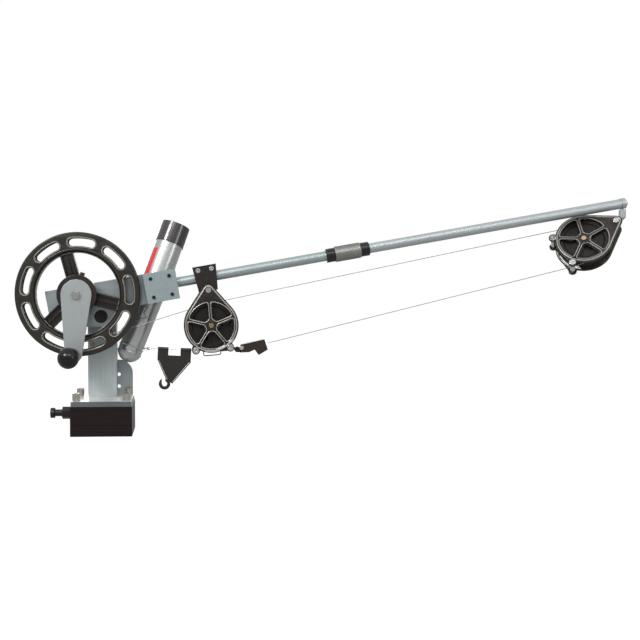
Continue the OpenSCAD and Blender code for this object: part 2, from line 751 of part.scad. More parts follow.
// Disc on the boom's end with its plug, the nut outside it and the bore of the swivel
module boom_end() color("#87939a") difference() {
  on_boom() union() {
    ring_x(boom_r - boom_wall - fit, 0, boom_end - 20, boom_end);
    ring_x(boom_r + 0.7, 0, boom_end, boom_end + end_disc_l);
    ring_x(2.5, 0, boom_end, boom_end + end_disc_l + 5);
    translate([boom_end + end_disc_l, 0, 0]) rotate([0, 90, 0]) cylinder(r = 5, h = 3.6, $fn = 6);
  }
  translate(swivel_top - [0, 0, 6]) cylinder(r = 2.5 + fit, h = 13);
}

// Spool and crank

module spindle() color("silver") at_spool() {
  pin_y(spindle_tip_r, arm_y - arm_t, arm_y);
  pin_y(spindle_r, arm_y, column_y + 10);
  hex_y(12, column_y + seat, column_y + 7);
}

module spool_bushing() color("#b08d57") at_spool() difference() {
  pin_y(spindle_r + 3, spool_y + 1, spool_y + spool_w - 1);
  pin_y(spindle_r + fit, spool_y, spool_y + spool_w);
}

module spool() color("#25221e") at_spool() difference() {
  union() {
    translate([0, line_y, 0]) rotate([-90, 0, 0]) rotate_extrude($fn = 144)
      polygon([[spool_open_r, bevel - spool_w / 2], [spool_open_r + bevel, -spool_w / 2],
        [spool_r - 1.5, -spool_w / 2], [spool_r, 1.5 - spool_w / 2], [spool_r, -channel_w / 2],
        [barrel_r, -channel_w / 2], [barrel_r, channel_w / 2], [spool_r, channel_w / 2],
        [spool_r, spool_w / 2 - 1.5], [spool_r - 1.5, spool_w / 2],
        [spool_open_r + bevel, spool_w / 2], [spool_open_r, spool_w / 2 - bevel]]);
    pin_y(hub_r, spool_y, spool_y + spool_w);
    for (k = [0:spoke_count - 1]) rotate([0, -spoke_start - k * 360 / spoke_count, 0]) {
      translate([0, line_y - spoke_t / 2, -spoke_w / 2])
        cube([spoke_end, spoke_t, spoke_w]);
      for (z = [-spoke_w / 2, spoke_w / 2 - spoke_rib_w])
        translate([0, line_y - spoke_t, z]) cube([spoke_end, 2 * spoke_t, spoke_rib_w]);
    }
  }
  pin_y(spindle_r + 3 + fit, spool_y - 1, spool_y + spool_w + 1);
  for (k = [0:slot_count - 1]) rotate([0, -slot_start - k * 360 / slot_count, 0])
    slab_y(spool_y - 1, spool_y + spool_w + 1) polygon(slot_points);
}

module cable_core() color("#9a9a94") at_spool() difference() {
  pin_y(core_r, line_y - channel_w / 2, line_y + channel_w / 2);
  pin_y(barrel_r + fit, line_y - spool_w, line_y + spool_w);
}

module cable_winding() color("#a9a9a2") tube(wind_route, cable_r, wind_sides);

// Drag disc, with its pad against the hub
module drag_disc() color("#8a7f70") at_spool() difference() {
  union() {
    pin_y(drag_r, arm_y, drag_y);
    pin_y(hub_r - 2, drag_y, pad_y);
  }
  pin_y(spindle_r + fit, arm_y - 1, pad_y + 1);
}

module crank_arm() color("#a2abad") at_crank() difference() {
  slab_y(arm_y - arm_t, arm_y) polygon(link_points(arm_top_r, arm_end_r, crank_r));
  pin_y(spindle_tip_r + fit, arm_y - arm_t - 1, arm_y + 1);
  pin_y(4 + fit, arm_y - arm_t - 1, arm_y + 1, 0, -crank_r);
}

module crank_bolt() color("#c9c9c4") at_crank() {
  pin_y(crank_washer_r, arm_y - arm_t - 1.6, arm_y - arm_t - fit);
  hex_y(crank_hex_r, arm_y - arm_t - 5.6, arm_y - arm_t - 1.6);
}

module knob_bolt() color("silver") at_crank() {
  pin_y(4, knob_y - knob_l + 12, arm_y, 0, -crank_r);
}

// Knob: a ball that narrows to its foot, with a blind bore for its bolt
module knob() color("#1b191a") at_crank() translate([0, knob_y, -crank_r]) rotate([90, 0, 0])
  difference() {
    rotate_extrude() polygon(concat([[0, 0], [knob_foot_r, 0], [knob_foot_r + 1, 6]],
      [for (a = [-52:8:88]) [knob_r * cos(a), knob_l - knob_r + knob_r * sin(a)]],
      [[0, knob_l]]));
    translate([0, 0, -1]) cylinder(r = 4 + fit, h = knob_l - 10);
  }

// Rod holder

// The rod holder's outside: a taper above its foot, then a straight tube
module rod_form(grow, below, above) rotate_extrude() polygon([[0, -below],
  [rod_foot_r + grow, -below], [rod_foot_r + grow, 0], [rod_r + grow, rod_taper_l],
  [rod_r + grow, rod_l + above], [0, rod_l + above]]);

module rod_tube() color("#c4c9cb") on_rod() difference() {
  dome_r = (rod_foot_r * rod_foot_r + rod_dome * rod_dome) / (2 * rod_dome);
  union() {
    rod_form(0, 0, 0);
    intersection() {
      translate([0, 0, dome_r - rod_dome]) sphere(r = dome_r);
      translate([0, 0, -rod_dome - 1]) cylinder(r = rod_foot_r, h = rod_dome + 1.5);
    }
  }
  translate([0, 0, butt_z]) cylinder(r = rod_bore_r, h = rod_l);
  translate([0, 0, 2]) cylinder(r = rod_bore_r - 4, h = rod_l);
  translate([0, 0, gimbal_z]) rotate([90, 0, gimbal_turn])
    cylinder(r = gimbal_r + fit, h = 3 * rod_r, center = true);
}

module rod_sleeve() color("#161616") on_rod() difference() {
  translate([0, 0, rod_neck]) cylinder(r = rod_r + sleeve_wall, h = sleeve_l + sleeve_lip);
  translate([0, 0, rod_neck - 1]) cylinder(r = rod_r + fit, h = sleeve_l + 1);
  cylinder(r = rod_bore_r + 1, h = rod_l + 10);
}

module gimbal_pin() color("silver") on_rod() translate([0, 0, gimbal_z])
  rotate([90, 0, gimbal_turn]) cylinder(r = gimbal_r, h = 2 * rod_foot_r - 1, center = true);

// Saddle behind the frame that holds the rod holder, with its cap round the tube
module rod_saddle() color("#7d8990") difference() {
  union() {
    tilted() slab_y(column_y, column_y + saddle_d)
      translate([saddle_x - saddle_w / 2, bar_rise - saddle_h / 2]) square([saddle_w, saddle_h]);
    intersection() {
      on_rod() cylinder(r = rod_r + strap_wall, h = rod_l);
      tilted() slab_y(column_y + 20, column_y + strap_w)
        translate([saddle_x - strap_w / 2, bar_rise - strap_h / 2]) square([strap_w, strap_h]);
    }
  }
  on_rod() rod_form(fit, 40, 40);
}

// Pulley blocks: the pivot at the origin, the axle below it, the thickness along Y

// A block's round body drawn to its tip, and the same with the two corner bosses outside it
module body_outline(inset)
  polygon(link_points(tip_r - inset, body_r - inset, hub_drop));

module block_outline() {
  hub = [0, -hub_drop];
  out = post_angle - 90;
  tip_lean = acos((body_r - tip_r) / hub_drop);
  body_cut = acos((post_out * post_out + body_r * body_r - boss_r * boss_r)
    / (2 * post_out * body_r));
  boss_cut = 180 - acos((post_out * post_out + boss_r * boss_r - body_r * body_r)
    / (2 * post_out * boss_r));
  half = concat(arc(hub, body_r, -90, out - body_cut, 8),
    arc(hub + post_out * [cos(out), sin(out)], boss_r, out - boss_cut * 6 / 7,
      out + boss_cut * 6 / 7, 12),
    arc(hub, body_r, out + body_cut, 90 - tip_lean, 20),
    arc([0, 0], tip_r, 90 - tip_lean + 6, 90, 8));
  polygon(concat(half, [for (i = [len(half) - 2:-1:1]) [-half[i][0], half[i][1]]]));
}

module block_windows() {
  translate([0, -hub_drop]) difference() {
    circle(r = window_r);
    circle(r = boss_disc_r);
    for (k = [0:window_count - 1]) rotate(90 + k * 360 / window_count)
      translate([0, -rib_w / 2]) square([window_r + 1, rib_w]);
  }
}

module side_plate(side, pin_r) {
  face = side > 0 ? inner_y : -outer_y;
  difference() {
    union() {
      slab_y(face, face + side_t) block_outline();
      slab_y(side > 0 ? outer_y : -outer_y - lip_h, side > 0 ? outer_y + lip_h : -outer_y)
        difference() {
          block_outline();
          body_outline(lip_w);
        }
    }
    slab_y(face - 1, face + side_t + 1) block_windows();
    pin_y(pin_r + fit, face - 2, face + side_t + 2);
    pin_y(3 + fit, face - 2, face + side_t + 2, 0, -hub_drop);
    for (x = [-1, 1]) {
      pin_y(2.5 + fit, face - 2, face + side_t + 2, x * post_xz[0], post_xz[1]);
      pin_y(corner_head_r + fit, side > 0 ? outer_y : -outer_y - lip_h - 1,
        side > 0 ? outer_y + lip_h + 1 : -outer_y, x * post_xz[0], post_xz[1]);
    }
  }
}

module sheave() translate([0, 0, -hub_drop]) rotate([-90, 0, 0]) rotate_extrude($fn = 120)
  polygon(concat([[axle_r + fit, -sheave_w / 2], [axle_r + 5, -sheave_w / 2],
    [axle_r + 7, -sheave_w / 2 + 3], [sheave_r - 9, -sheave_w / 2 + 3],
    [sheave_r - 7, -sheave_w / 2], [sheave_r, -sheave_w / 2], [sheave_r, -sheave_w / 2 + 0.7]],
    [for (a = [-45:9:45]) [sheave_r - groove_d + groove_arc * (1 - cos(a)), groove_arc * sin(a)]],
    [[sheave_r, sheave_w / 2 - 0.7], [sheave_r, sheave_w / 2], [sheave_r - 7, sheave_w / 2],
     [sheave_r - 9, sheave_w / 2 - 3], [axle_r + 7, sheave_w / 2 - 3],
     [axle_r + 5, sheave_w / 2], [axle_r + fit, sheave_w / 2]]));

// Axle: a shoulder inside the plates and a domed head outside each
module axle() translate([0, 0, -hub_drop]) {
  pin_y(axle_r, -inner_y + seat, inner_y - seat);
  pin_y(3, -outer_y, outer_y);
  for (side = [-1, 1]) pin_y(axle_head_r, side > 0 ? outer_y : -outer_y - 2,
    side > 0 ? outer_y + 2 : -outer_y);
}

module corner_posts() for (x = [-1, 1]) translate([x * post_xz[0], 0, post_xz[1]]) {
  pin_y(corner_r, -inner_y, inner_y);
  pin_y(2.5, -outer_y, outer_y);
  for (side = [-1, 1]) difference() {
    pin_y(corner_head_r, side > 0 ? outer_y : -outer_y - 1.8, side > 0 ? outer_y + 1.8 : -outer_y);
    hex_y(2.2, side > 0 ? outer_y + 0.8 : -outer_y - 3, side > 0 ? outer_y + 3 : -outer_y - 0.8);
  }
}

module hanger_outline() {
  top = near_drop + boom_r + 12;
  polygon([[-hanger_w / 2, top], [hanger_w / 2, top], [hanger_low_w / 2, -2],
    [-hanger_low_w / 2, -2]]);
  circle(r = hanger_eye_r);
}

module at_hanger() {
  tilted() translate([hanger_at, line_y, boom_rise - near_drop]) children();
}

module hanger_plates() color("#1b1a1a") at_hanger() for (side = [-1, 1]) {
  face = side > 0 ? hanger_y : -hanger_y - hanger_t;
  difference() {
    slab_y(face, face + hanger_t) hanger_outline();
    pin_y(pivot_r + fit, face - 1, face + hanger_t + 1);
    for (x = [-1, 1]) pin_y(2.5 + fit, face - 1, face + hanger_t + 1,
      x * hanger_screw_d / 2, hanger_screw_z);
  }
}

module hanger_screws() color("#b9bcbd") at_hanger() for (x = [-1, 1])
  translate([x * hanger_screw_d / 2, 0, hanger_screw_z]) {
    pin_y(2.5, -hanger_y - hanger_t, hanger_y + hanger_t);
    pin_y(3.6, -hanger_y, hanger_y);
    for (side = [-1, 1]) difference() {
      pin_y(4.2, side > 0 ? hanger_y + hanger_t : -hanger_y - hanger_t - 2,
        side > 0 ? hanger_y + hanger_t + 2 : -hanger_y - hanger_t);
      hex_y(2, side > 0 ? hanger_y + hanger_t + 1 : -hanger_y - hanger_t - 3,
        side > 0 ? hanger_y + hanger_t + 3 : -hanger_y - hanger_t - 1);
    }
  }

// A pivot bolt through both side plates: its heads, and its spacers from the middle piece out
module pivot_bolt(r, spacer_a, spacer_b) {
  pin_y(r, -outer_y - fit, outer_y + fit);
  for (side = [-1, 1]) difference() {
    pin_y(pivot_head_r, side > 0 ? outer_y + fit : -outer_y - 2.6,
      side > 0 ? outer_y + 2.6 : -outer_y - fit);
    hex_y(2.6, side > 0 ? outer_y + 1.2 : -outer_y - 4, side > 0 ? outer_y + 4 : -outer_y - 1.2);
  }
  for (side = [-1, 1]) pin_y(r + 2, side > 0 ? spacer_a : -spacer_b,
    side > 0 ? spacer_b : -spacer_a);
}

module near_pivot() color("#b9bcbd") near_block() pivot_bolt(pivot_r, 0, hanger_y);

module near_front_plate() color("#2a2624") near_block() side_plate(-1, pivot_r);

module near_rear_plate() color("#2a2624") near_block() side_plate(1, pivot_r);

module near_sheave() color("#1d1b1b") near_block() sheave();

module near_axle() color("#b49a5e") near_block() axle();

module near_posts() color("#b9bcbd") near_block() corner_posts();

// Wire loop under the near block, from post to post
module line_guard() color("silver") near_block() {
  x = post_xz[0] - corner_r - seat;
  z = post_xz[1];
  y = -7;
  tube([[-x, y, z - 1], [-x + 4, y, z - 2], [-x + 8, y, z - 6], [-x + 12, y, z - 9],
    [0, y, z - 10], [x - 12, y, z - 9], [x - 8, y, z - 6], [x - 4, y, z - 2], [x, y, z - 1]], 1, 8);
}

// Far block and its swivel

// Swivel below the boom's end: stem, barrel, neck and the eye on the far block's pivot
module far_swivel() color("#97a2a6") difference() {
  union() {
    translate(swivel_top - [0, 0, 1.2]) cylinder(r = 2.5, h = 7);
    translate(swivel_top - [0, 0, 15]) cylinder(r = 6, h = 14);
    translate(swivel_top - [0, 0, 18]) cylinder(r1 = 3.5, r2 = 6, h = 3);
    hull() {
      translate(swivel_top - [0, 0, 18]) cylinder(r = 3.4, h = 1, $fn = 32);
      translate(far_at + [2, 0, 4]) sphere(r = 3.2, $fn = 24);
    }
    far_block() pin_y(6.5, -eye_y, eye_y);
  }
  far_block() pin_y(3 + fit, -inner_y, inner_y);
}

module far_pivot_pin() color("#b9bcbd") far_block() pivot_bolt(3, eye_y + seat, inner_y - seat);

module far_front_plate() color("#2a2624") far_block() side_plate(-1, 3);

module far_rear_plate() color("#2a2624") far_block() side_plate(1, 3);

module far_sheave() color("#1d1b1b") far_block() sheave();

module far_axle() color("#b49a5e") far_block() axle();

module far_posts() color("#b9bcbd") far_block() corner_posts();

// Cable, line release and tether

module cable_run() color("#a9a9a2") tube(cable_route, cable_r, 8);

// Link from the near block's right corner post to the line release's pin
module release_link() color("#202020") difference() {
  union() {
    translate([near_post_r[0], line_y, near_post_r[2]]) {
      pin_y(corner_r + 2.2, -3, 3);
      rotate([0, atan2(5, 13), 0]) translate([0, -1.5, -2]) cube([14, 3, 4]);
    }
    pin_y(3.4, line_y - 1.5, line_y + 1.5, release_pin[0], release_pin[2]);
    pin_y(1.8, line_y - 6, line_y + 8, release_pin[0], release_pin[2]);
  }
  pin_y(corner_r + fit, line_y - 10, line_y + 10, near_post_r[0], near_post_r[2]);
}

module release_outline() {
  translate([release_pin[0], release_pin[2]])
    polygon([[2, -5], [6, 9], [20, 12], [47, 18], [53, 0], [37, -9.5], [30, 0], [20, -4.5]]);
}

module release_arm() color("#1e1c1c") difference() {
  union() {
    slab_y(line_y + 2, line_y + 2 + jaw_t) {
      release_outline();
      translate([release_pin[0], release_pin[2]]) circle(r = 5);
    }
  }
  pin_y(1.8 + fit, line_y, line_y + 10, release_pin[0], release_pin[2]);
  pin_y(2 + fit, line_y, line_y + 10, release_screw_at[0], release_screw_at[2]);
}

module release_screw() color("#b9bcbd") translate([release_screw_at[0], 0, release_screw_at[2]])
  difference() {
    union() {
      pin_y(2, line_y - jaw_t - 1, line_y + 2 + jaw_t);
      pin_y(3.6, line_y - jaw_t - 2, line_y - jaw_t - fit);
    }
    hex_y(1.6, line_y - jaw_t - 3, line_y - jaw_t - 1.2);
  }

module release_jaw() color("#242121") difference() {
  slab_y(line_y - jaw_t, line_y - seat) release_outline();
  pin_y(2 + fit, line_y - jaw_t - 1, line_y + 1, release_screw_at[0], release_screw_at[2]);
  pin_y(6.5, line_y - jaw_t - 1, line_y + 1, release_pin[0], release_pin[2]);
}

module tether_wire() color("silver") tube(tether_route, tether_r, 8);

// Hook plate: two barrels on the tether, a tapering plate and a hook at its foot
module hook_plate() color("#1c1b1b") translate(tether_in) rotate([0, tether_fall, 0])
  translate([hook_in, 0, 0]) difference() {
    union() {
      for (x = [0, hook_w - tab_w]) ring_shift(x);
      slab_y(-hook_t / 2, hook_t / 2) hook_outline();
    }
    translate([-1, 0, 0]) rotate([0, 90, 0]) cylinder(r = tether_r + 0.5, h = hook_w + 2);
  }

module hook_outline() difference() {
  union() {
    polygon([[0, 0], [tab_w, 0], [tab_w, -tab_h], [hook_w - tab_w, -tab_h],
      [hook_w - tab_w, 0], [hook_w, 0], [hook_w, -hook_right], hook_toe, hook_heel,
      [0, -hook_left]]);
    translate(hook_centre) circle(r = hook_out_r);
  }
  translate(hook_centre) circle(r = hook_in_r);
  translate(hook_centre + [-5, 0]) square([6, hook_out_r + 1]);
}

module ring_shift(x) {
  translate([x, 0, 0]) rotate([0, 90, 0]) cylinder(r = barrel_out_r, h = tab_w);
}

base_foot();
swivel_post();
swivel_block();
base_plate();
base_screws();
plunger_body();
plunger_pin();
plunger_spring();
column();
column_screws();
rear_bracket();
tilt_bolt();
tilt_cap();
frame();
boom_socket();
cover_plate();
cover_screws();
inner_boom();
outer_boom();
boom_spigot();
coupler_sleeve();
boom_collars();
boom_end();
spindle();
spool_bushing();
spool();
cable_core();
cable_winding();
drag_disc();
crank_arm();
crank_bolt();
knob_bolt();
knob();
rod_tube();
rod_sleeve();
gimbal_pin();
rod_saddle();
hanger_plates();
hanger_screws();
near_pivot();
near_front_plate();
near_rear_plate();
near_sheave();
near_axle();
near_posts();
line_guard();
far_swivel();
far_pivot_pin();
far_front_plate();
far_rear_plate();
far_sheave();
far_axle();
far_posts();
cable_run();
release_link();
release_arm();
release_screw();
release_jaw();
tether_wire();
hook_plate();
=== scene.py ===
import bpy, bmesh, math
from mathutils import Matrix, Vector


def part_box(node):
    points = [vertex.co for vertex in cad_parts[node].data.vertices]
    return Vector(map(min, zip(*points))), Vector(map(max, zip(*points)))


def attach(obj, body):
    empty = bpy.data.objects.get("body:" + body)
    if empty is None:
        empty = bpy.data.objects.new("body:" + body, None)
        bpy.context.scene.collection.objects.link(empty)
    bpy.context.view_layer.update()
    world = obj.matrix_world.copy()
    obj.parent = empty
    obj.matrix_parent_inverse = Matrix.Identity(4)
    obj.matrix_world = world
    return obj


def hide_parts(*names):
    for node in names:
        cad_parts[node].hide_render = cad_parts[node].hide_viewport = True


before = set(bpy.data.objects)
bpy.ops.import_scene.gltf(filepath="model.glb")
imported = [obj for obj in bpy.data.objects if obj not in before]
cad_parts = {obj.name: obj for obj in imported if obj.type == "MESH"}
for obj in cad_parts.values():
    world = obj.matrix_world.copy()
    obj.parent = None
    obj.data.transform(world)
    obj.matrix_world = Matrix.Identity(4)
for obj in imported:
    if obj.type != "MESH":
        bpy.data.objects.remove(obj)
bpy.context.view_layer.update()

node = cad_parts


# Studio: a pale floor under a white backdrop, lit by a sky that is brighter upwards. A key lamp at
# the upper left, a weak fill at the right, a strip in front and a low strip behind add highlights.
# The camera stands in front of the near block, and its lens is shifted towards the far end.
def sum_node(nodes, operation, second=None):
    """A maths node, with its second number where that is fixed."""
    made = nodes.new("ShaderNodeMath")
    made.operation = operation
    if second is not None:
        made.inputs[1].default_value = second
    return made


def ramp_node(nodes, low, high, start=0.3, end=0.7):
    """A node that turns the range from start to end into the range from low to high."""
    made = nodes.new("ShaderNodeMapRange")
    made.inputs["From Min"].default_value = start
    made.inputs["From Max"].default_value = end
    made.inputs["To Min"].default_value = low
    made.inputs["To Max"].default_value = high
    return made


def in_scene(name, data):
    """A new object of the scene that shows a mesh, a curve, a lamp or a camera."""
    made = bpy.data.objects.new(name, data)
    bpy.context.scene.collection.objects.link(made)
    return made


def white_stage(name, colour, shown, mirrored, brightness):
    """A floor that looks white to the camera by its glow, and still takes a faint shadow."""
    m = bpy.data.materials.new(name)
    m.use_nodes = True
    nodes, links = m.node_tree.nodes, m.node_tree.links
    nodes["Principled BSDF"].inputs["Base Color"].default_value = (*colour, 1)
    nodes["Principled BSDF"].inputs["Roughness"].default_value = 1.0
    nodes["Principled BSDF"].inputs["Specular IOR Level"].default_value = 0.0
    glow = nodes.new("ShaderNodeEmission")
    glow.inputs["Strength"].default_value = brightness
    mix = nodes.new("ShaderNodeMixShader")
    path = nodes.new("ShaderNodeLightPath")
    seen = sum_node(nodes, "MULTIPLY_ADD", mirrored)
    share = sum_node(nodes, "MULTIPLY", shown)
    links.new(path.outputs["Is Camera Ray"], share.inputs[0])
    links.new(path.outputs["Is Glossy Ray"], seen.inputs[0])
    links.new(share.outputs[0], seen.inputs[2])
    links.new(seen.outputs[0], mix.inputs[0])
    links.new(nodes["Principled BSDF"].outputs[0], mix.inputs[1])
    links.new(glow.outputs[0], mix.inputs[2])
    links.new(mix.outputs[0], nodes["Material Output"].inputs["Surface"])
    return m


floor_mesh = bpy.data.meshes.new("studio_floor")
floor_mesh.from_pydata([(-9, -6, 0), (9, -6, 0), (9, 9, 0), (-9, 9, 0)], [], [(0, 1, 2, 3)])
floor = in_scene("studio_floor", floor_mesh)
floor.location.z = -0.0005
floor_mesh.materials.append(white_stage("studio_white", (0.30, 0.30, 0.30), shown=0.80, mirrored=0.14,
                                        brightness=1.22))

world = bpy.data.worlds.new("studio_world")
bpy.context.scene.world = world
world.use_nodes = True
world_nodes, world_links = world.node_tree.nodes, world.node_tree.links
even_light = world_nodes["Background"]
even_light.inputs["Color"].default_value = (1, 1, 1, 1)
direction = world_nodes.new("ShaderNodeTexCoord")
height = world_nodes.new("ShaderNodeSeparateXYZ")
brighter_up = ramp_node(world_nodes, 0.06, 0.90, -0.4, 0.7)
world_links.new(direction.outputs["Generated"], height.inputs[0])
world_links.new(height.outputs["Z"], brighter_up.inputs["Value"])
world_links.new(brighter_up.outputs[0], even_light.inputs["Strength"])
white_back = world_nodes.new("ShaderNodeBackground")
white_back.inputs["Color"].default_value = (1, 1, 1, 1)
white_back.inputs["Strength"].default_value = 1.0
mirrored_back = sum_node(world_nodes, "MULTIPLY", 0.08)
back_share = sum_node(world_nodes, "MAXIMUM")
back_mix = world_nodes.new("ShaderNodeMixShader")
light_path = world_nodes.new("ShaderNodeLightPath")
world_links.new(light_path.outputs["Is Glossy Ray"], mirrored_back.inputs[0])
world_links.new(light_path.outputs["Is Camera Ray"], back_share.inputs[0])
world_links.new(mirrored_back.outputs[0], back_share.inputs[1])
world_links.new(back_share.outputs[0], back_mix.inputs[0])
world_links.new(even_light.outputs[0], back_mix.inputs[1])
world_links.new(white_back.outputs[0], back_mix.inputs[2])
world_links.new(back_mix.outputs[0], world_nodes["World Output"].inputs["Surface"])


def soft_lamp(name, place, aim, size, power):
    """A rectangular lamp at a place, turned to shine at a point."""
    lamp = bpy.data.lights.new(name, "AREA")
    lamp.shape = "RECTANGLE"
    lamp.size, lamp.size_y = size
    lamp.energy = power
    holder = in_scene(name, lamp)
    holder.location = place
    holder.rotation_euler = (Vector(aim) - Vector(place)).to_track_quat("-Z", "Y").to_euler()


soft_lamp("key_lamp", (-0.85, -1.15, 1.25), (0.1, 0, 0.25), (0.40, 0.40), 17)
soft_lamp("fill_lamp", (1.8, -1.3, 0.7), (0.4, 0, 0.25), (0.4, 0.7), 4)
soft_lamp("front_lamp", (0.45, -1.45, 1.5), (0.4, 0, 0.25), (1.7, 0.40), 11)
soft_lamp("back_lamp", (0.3, 1.7, 0.45), (0.3, 0, 0.10), (2.6, 0.7), 14)
bpy.data.objects["back_lamp"].visible_camera = False

camera_dip, camera_turn = 2.958, 2.173
camera_data = bpy.data.cameras.new("camera")
camera_data.sensor_width = 36
camera_data.lens = 46.875
camera_data.shift_x = 0.15627
camera_data.shift_y = -0.01945
camera = in_scene("camera", camera_data)
camera.location = (0.150, -1.46396, 0.29497)
camera.rotation_euler = (math.radians(90 - camera_dip), 0, math.radians(-camera_turn))
bpy.context.scene.camera = camera
bpy.context.scene.view_settings.view_transform = "Standard"


# Cable: stranded steel, 1.2 mm thick. It leaves the wheel's underside, runs over both pulleys, round
# a corner post of the far block and back to the line release, and is held taut all the way.
wheel_at = Vector((-39.8075, 0, 243.868))
line_y = -21
near_at = Vector((184.128, line_y, 251.164))
far_at = Vector((900.682, line_y, 363.446))
near_lean = 4.7
far_yaw, far_drop, far_twist = 9, 60, 32
near_place = Matrix.Translation(near_at) @ Matrix.Rotation(math.radians(-near_lean), 4, "Y")
far_place = (Matrix.Translation(far_at) @ Matrix.Rotation(math.radians(-far_yaw), 4, "Z")
             @ Matrix.Rotation(math.radians(far_drop), 4, "Y")
             @ Matrix.Rotation(math.radians(-far_twist), 4, "Z"))
axle_drop = 61
near_hub = near_place @ Vector((0, 0, -axle_drop))
far_hub = far_place @ Vector((0, 0, -axle_drop))
cable_r = 0.6
pitch_r = 36.7
wind_r = 82.5
wind_turns = 7
wind_pitch = 1.75
post_r = 4.5
post_out, post_angle = 50.3, 36
post = Vector((post_out * math.sin(math.radians(post_angle)), 0,
               -axle_drop - post_out * math.cos(math.radians(post_angle))))
near_post_left = near_place @ Vector((-post.x, 0, post.z))
near_post_right = near_place @ Vector((post.x, 0, post.z))
release_out = Vector((66, 0, 6))
release_end = near_post_right + release_out


def surface(name, colour, metal, rough, grain=(1, 1, 1), mottle=0.08, relief=0.0, streak=0.06,
            scale=60.0, coat=0.0, specular=0.5, painted_top_light=None):
    """A finish with a slow mottle of colour, a fine grain in its gloss and a little relief.
    Faces that look up on the piece can be given a lighter colour, a painted highlight."""
    m = bpy.data.materials.new(name)
    m.use_nodes = True
    nodes, links = m.node_tree.nodes, m.node_tree.links
    shader = nodes["Principled BSDF"]
    shader.inputs["Metallic"].default_value = metal
    shader.inputs["Coat Weight"].default_value = coat
    shader.inputs["Coat Roughness"].default_value = 0.12
    shader.inputs["Specular IOR Level"].default_value = specular
    place = nodes.new("ShaderNodeTexCoord")
    slow = nodes.new("ShaderNodeTexNoise")
    slow.inputs["Scale"].default_value = 14
    slow.inputs["Detail"].default_value = 3
    stretch = nodes.new("ShaderNodeMapping")
    stretch.inputs["Scale"].default_value = grain
    fine = nodes.new("ShaderNodeTexNoise")
    fine.inputs["Scale"].default_value = scale
    fine.inputs["Detail"].default_value = 5
    links.new(place.outputs["Object"], slow.inputs["Vector"])
    links.new(place.outputs["Object"], stretch.inputs["Vector"])
    links.new(stretch.outputs[0], fine.inputs["Vector"])
    tone = ramp_node(nodes, 1 - mottle, 1 + mottle, 0, 1)
    links.new(slow.outputs["Fac"], tone.inputs["Value"])
    line = ramp_node(nodes, 1 - streak, 1 + streak)
    links.new(fine.outputs["Fac"], line.inputs["Value"])
    both = sum_node(nodes, "MULTIPLY")
    links.new(tone.outputs[0], both.inputs[0])
    links.new(line.outputs[0], both.inputs[1])
    tint = nodes.new("ShaderNodeVectorMath")
    tint.operation = "SCALE"
    tint.inputs[0].default_value = colour
    links.new(both.outputs[0], tint.inputs["Scale"])
    links.new(tint.outputs[0], shader.inputs["Base Color"])
    # Painted highlight: faces that look up take a lighter colour of their own.
    if painted_top_light:
        facing = nodes.new("ShaderNodeSeparateXYZ")
        links.new(place.outputs["Normal"], facing.inputs[0])
        painted_top_light_mask = sum_node(nodes, "GREATER_THAN", 0.9)
        links.new(facing.outputs["Z"], painted_top_light_mask.inputs[0])
        pick = nodes.new("ShaderNodeMix")
        pick.data_type = "RGBA"
        links.new(painted_top_light_mask.outputs[0], pick.inputs["Factor"])
        links.new(tint.outputs[0], pick.inputs["A"])
        pick.inputs["B"].default_value = (*painted_top_light, 1)
        links.new(pick.outputs["Result"], shader.inputs["Base Color"])
    gloss = ramp_node(nodes, rough * 0.88, min(1.0, rough * 1.14))
    links.new(fine.outputs["Fac"], gloss.inputs["Value"])
    links.new(gloss.outputs[0], shader.inputs["Roughness"])
    if relief:
        bump = nodes.new("ShaderNodeBump")
        bump.inputs["Strength"].default_value = relief
        bump.inputs["Distance"].default_value = 0.0002
        links.new(fine.outputs["Fac"], bump.inputs["Height"])
        links.new(bump.outputs[0], shader.inputs["Normal"])
    return m


def flattened(curve):
    """The mesh that a curve draws."""
    holder = in_scene("shape", curve)
    mesh = bpy.data.meshes.new_from_object(
        holder.evaluated_get(bpy.context.evaluated_depsgraph_get()))
    bpy.data.objects.remove(holder)
    return mesh


def add_route(curve, points, closed):
    """Adds a line of straight stretches through points to a curve."""
    spline = curve.splines.new("POLY")
    spline.points.add(len(points) - 1)
    for spot, p in zip(spline.points, points):
        spot.co = (p[0], p[1], p[2], 1)
    spline.use_cyclic_u = closed


def wire_mesh(points, radius, closed=False, sides=2):
    """A round wire along points in millimetres."""
    curve = bpy.data.curves.new("wire", "CURVE")
    curve.dimensions = "3D"
    curve.bevel_depth = radius
    curve.bevel_resolution = sides
    curve.use_fill_caps = not closed
    add_route(curve, points, closed)
    return flattened(curve)


def joined(*meshes):
    """One mesh of several; those after the first keep their own material number."""
    whole = bmesh.new()
    for mesh in meshes:
        whole.from_mesh(mesh)
        bpy.data.meshes.remove(mesh)
    bmesh.ops.remove_doubles(whole, verts=whole.verts, dist=0.0005)
    result = bpy.data.meshes.new("piece")
    whole.to_mesh(result)
    whole.free()
    return result


def piece(name, mesh, materials, body, place=Matrix(), sharp=35):
    """Sets a mesh made in millimetres in its place on a body, with its finish."""
    mesh.transform(Matrix.Scale(0.001, 4) @ place)
    for m in materials:
        mesh.materials.append(m)
    mesh.polygons.foreach_set("use_smooth", [True] * len(mesh.polygons))
    mesh.set_sharp_from_angle(angle=math.radians(sharp))
    made = in_scene(name, mesh)
    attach(made, body)
    return made


to_near = near_hub - wheel_at
rise_in = math.atan2(to_near.z, to_near.x) + math.asin(
    (wind_r + pitch_r) / math.hypot(to_near.x, to_near.z))
rise_out = math.atan2(far_hub.z - near_hub.z, far_hub.x - near_hub.x)
wind_end = rise_in - math.pi / 2
wind_half = wind_turns * wind_pitch / 2
far_x, far_y, far_z = (far_place.to_3x3() @ Vector(v) for v in ((1, 0, 0), (0, 1, 0), (0, 0, 1)))


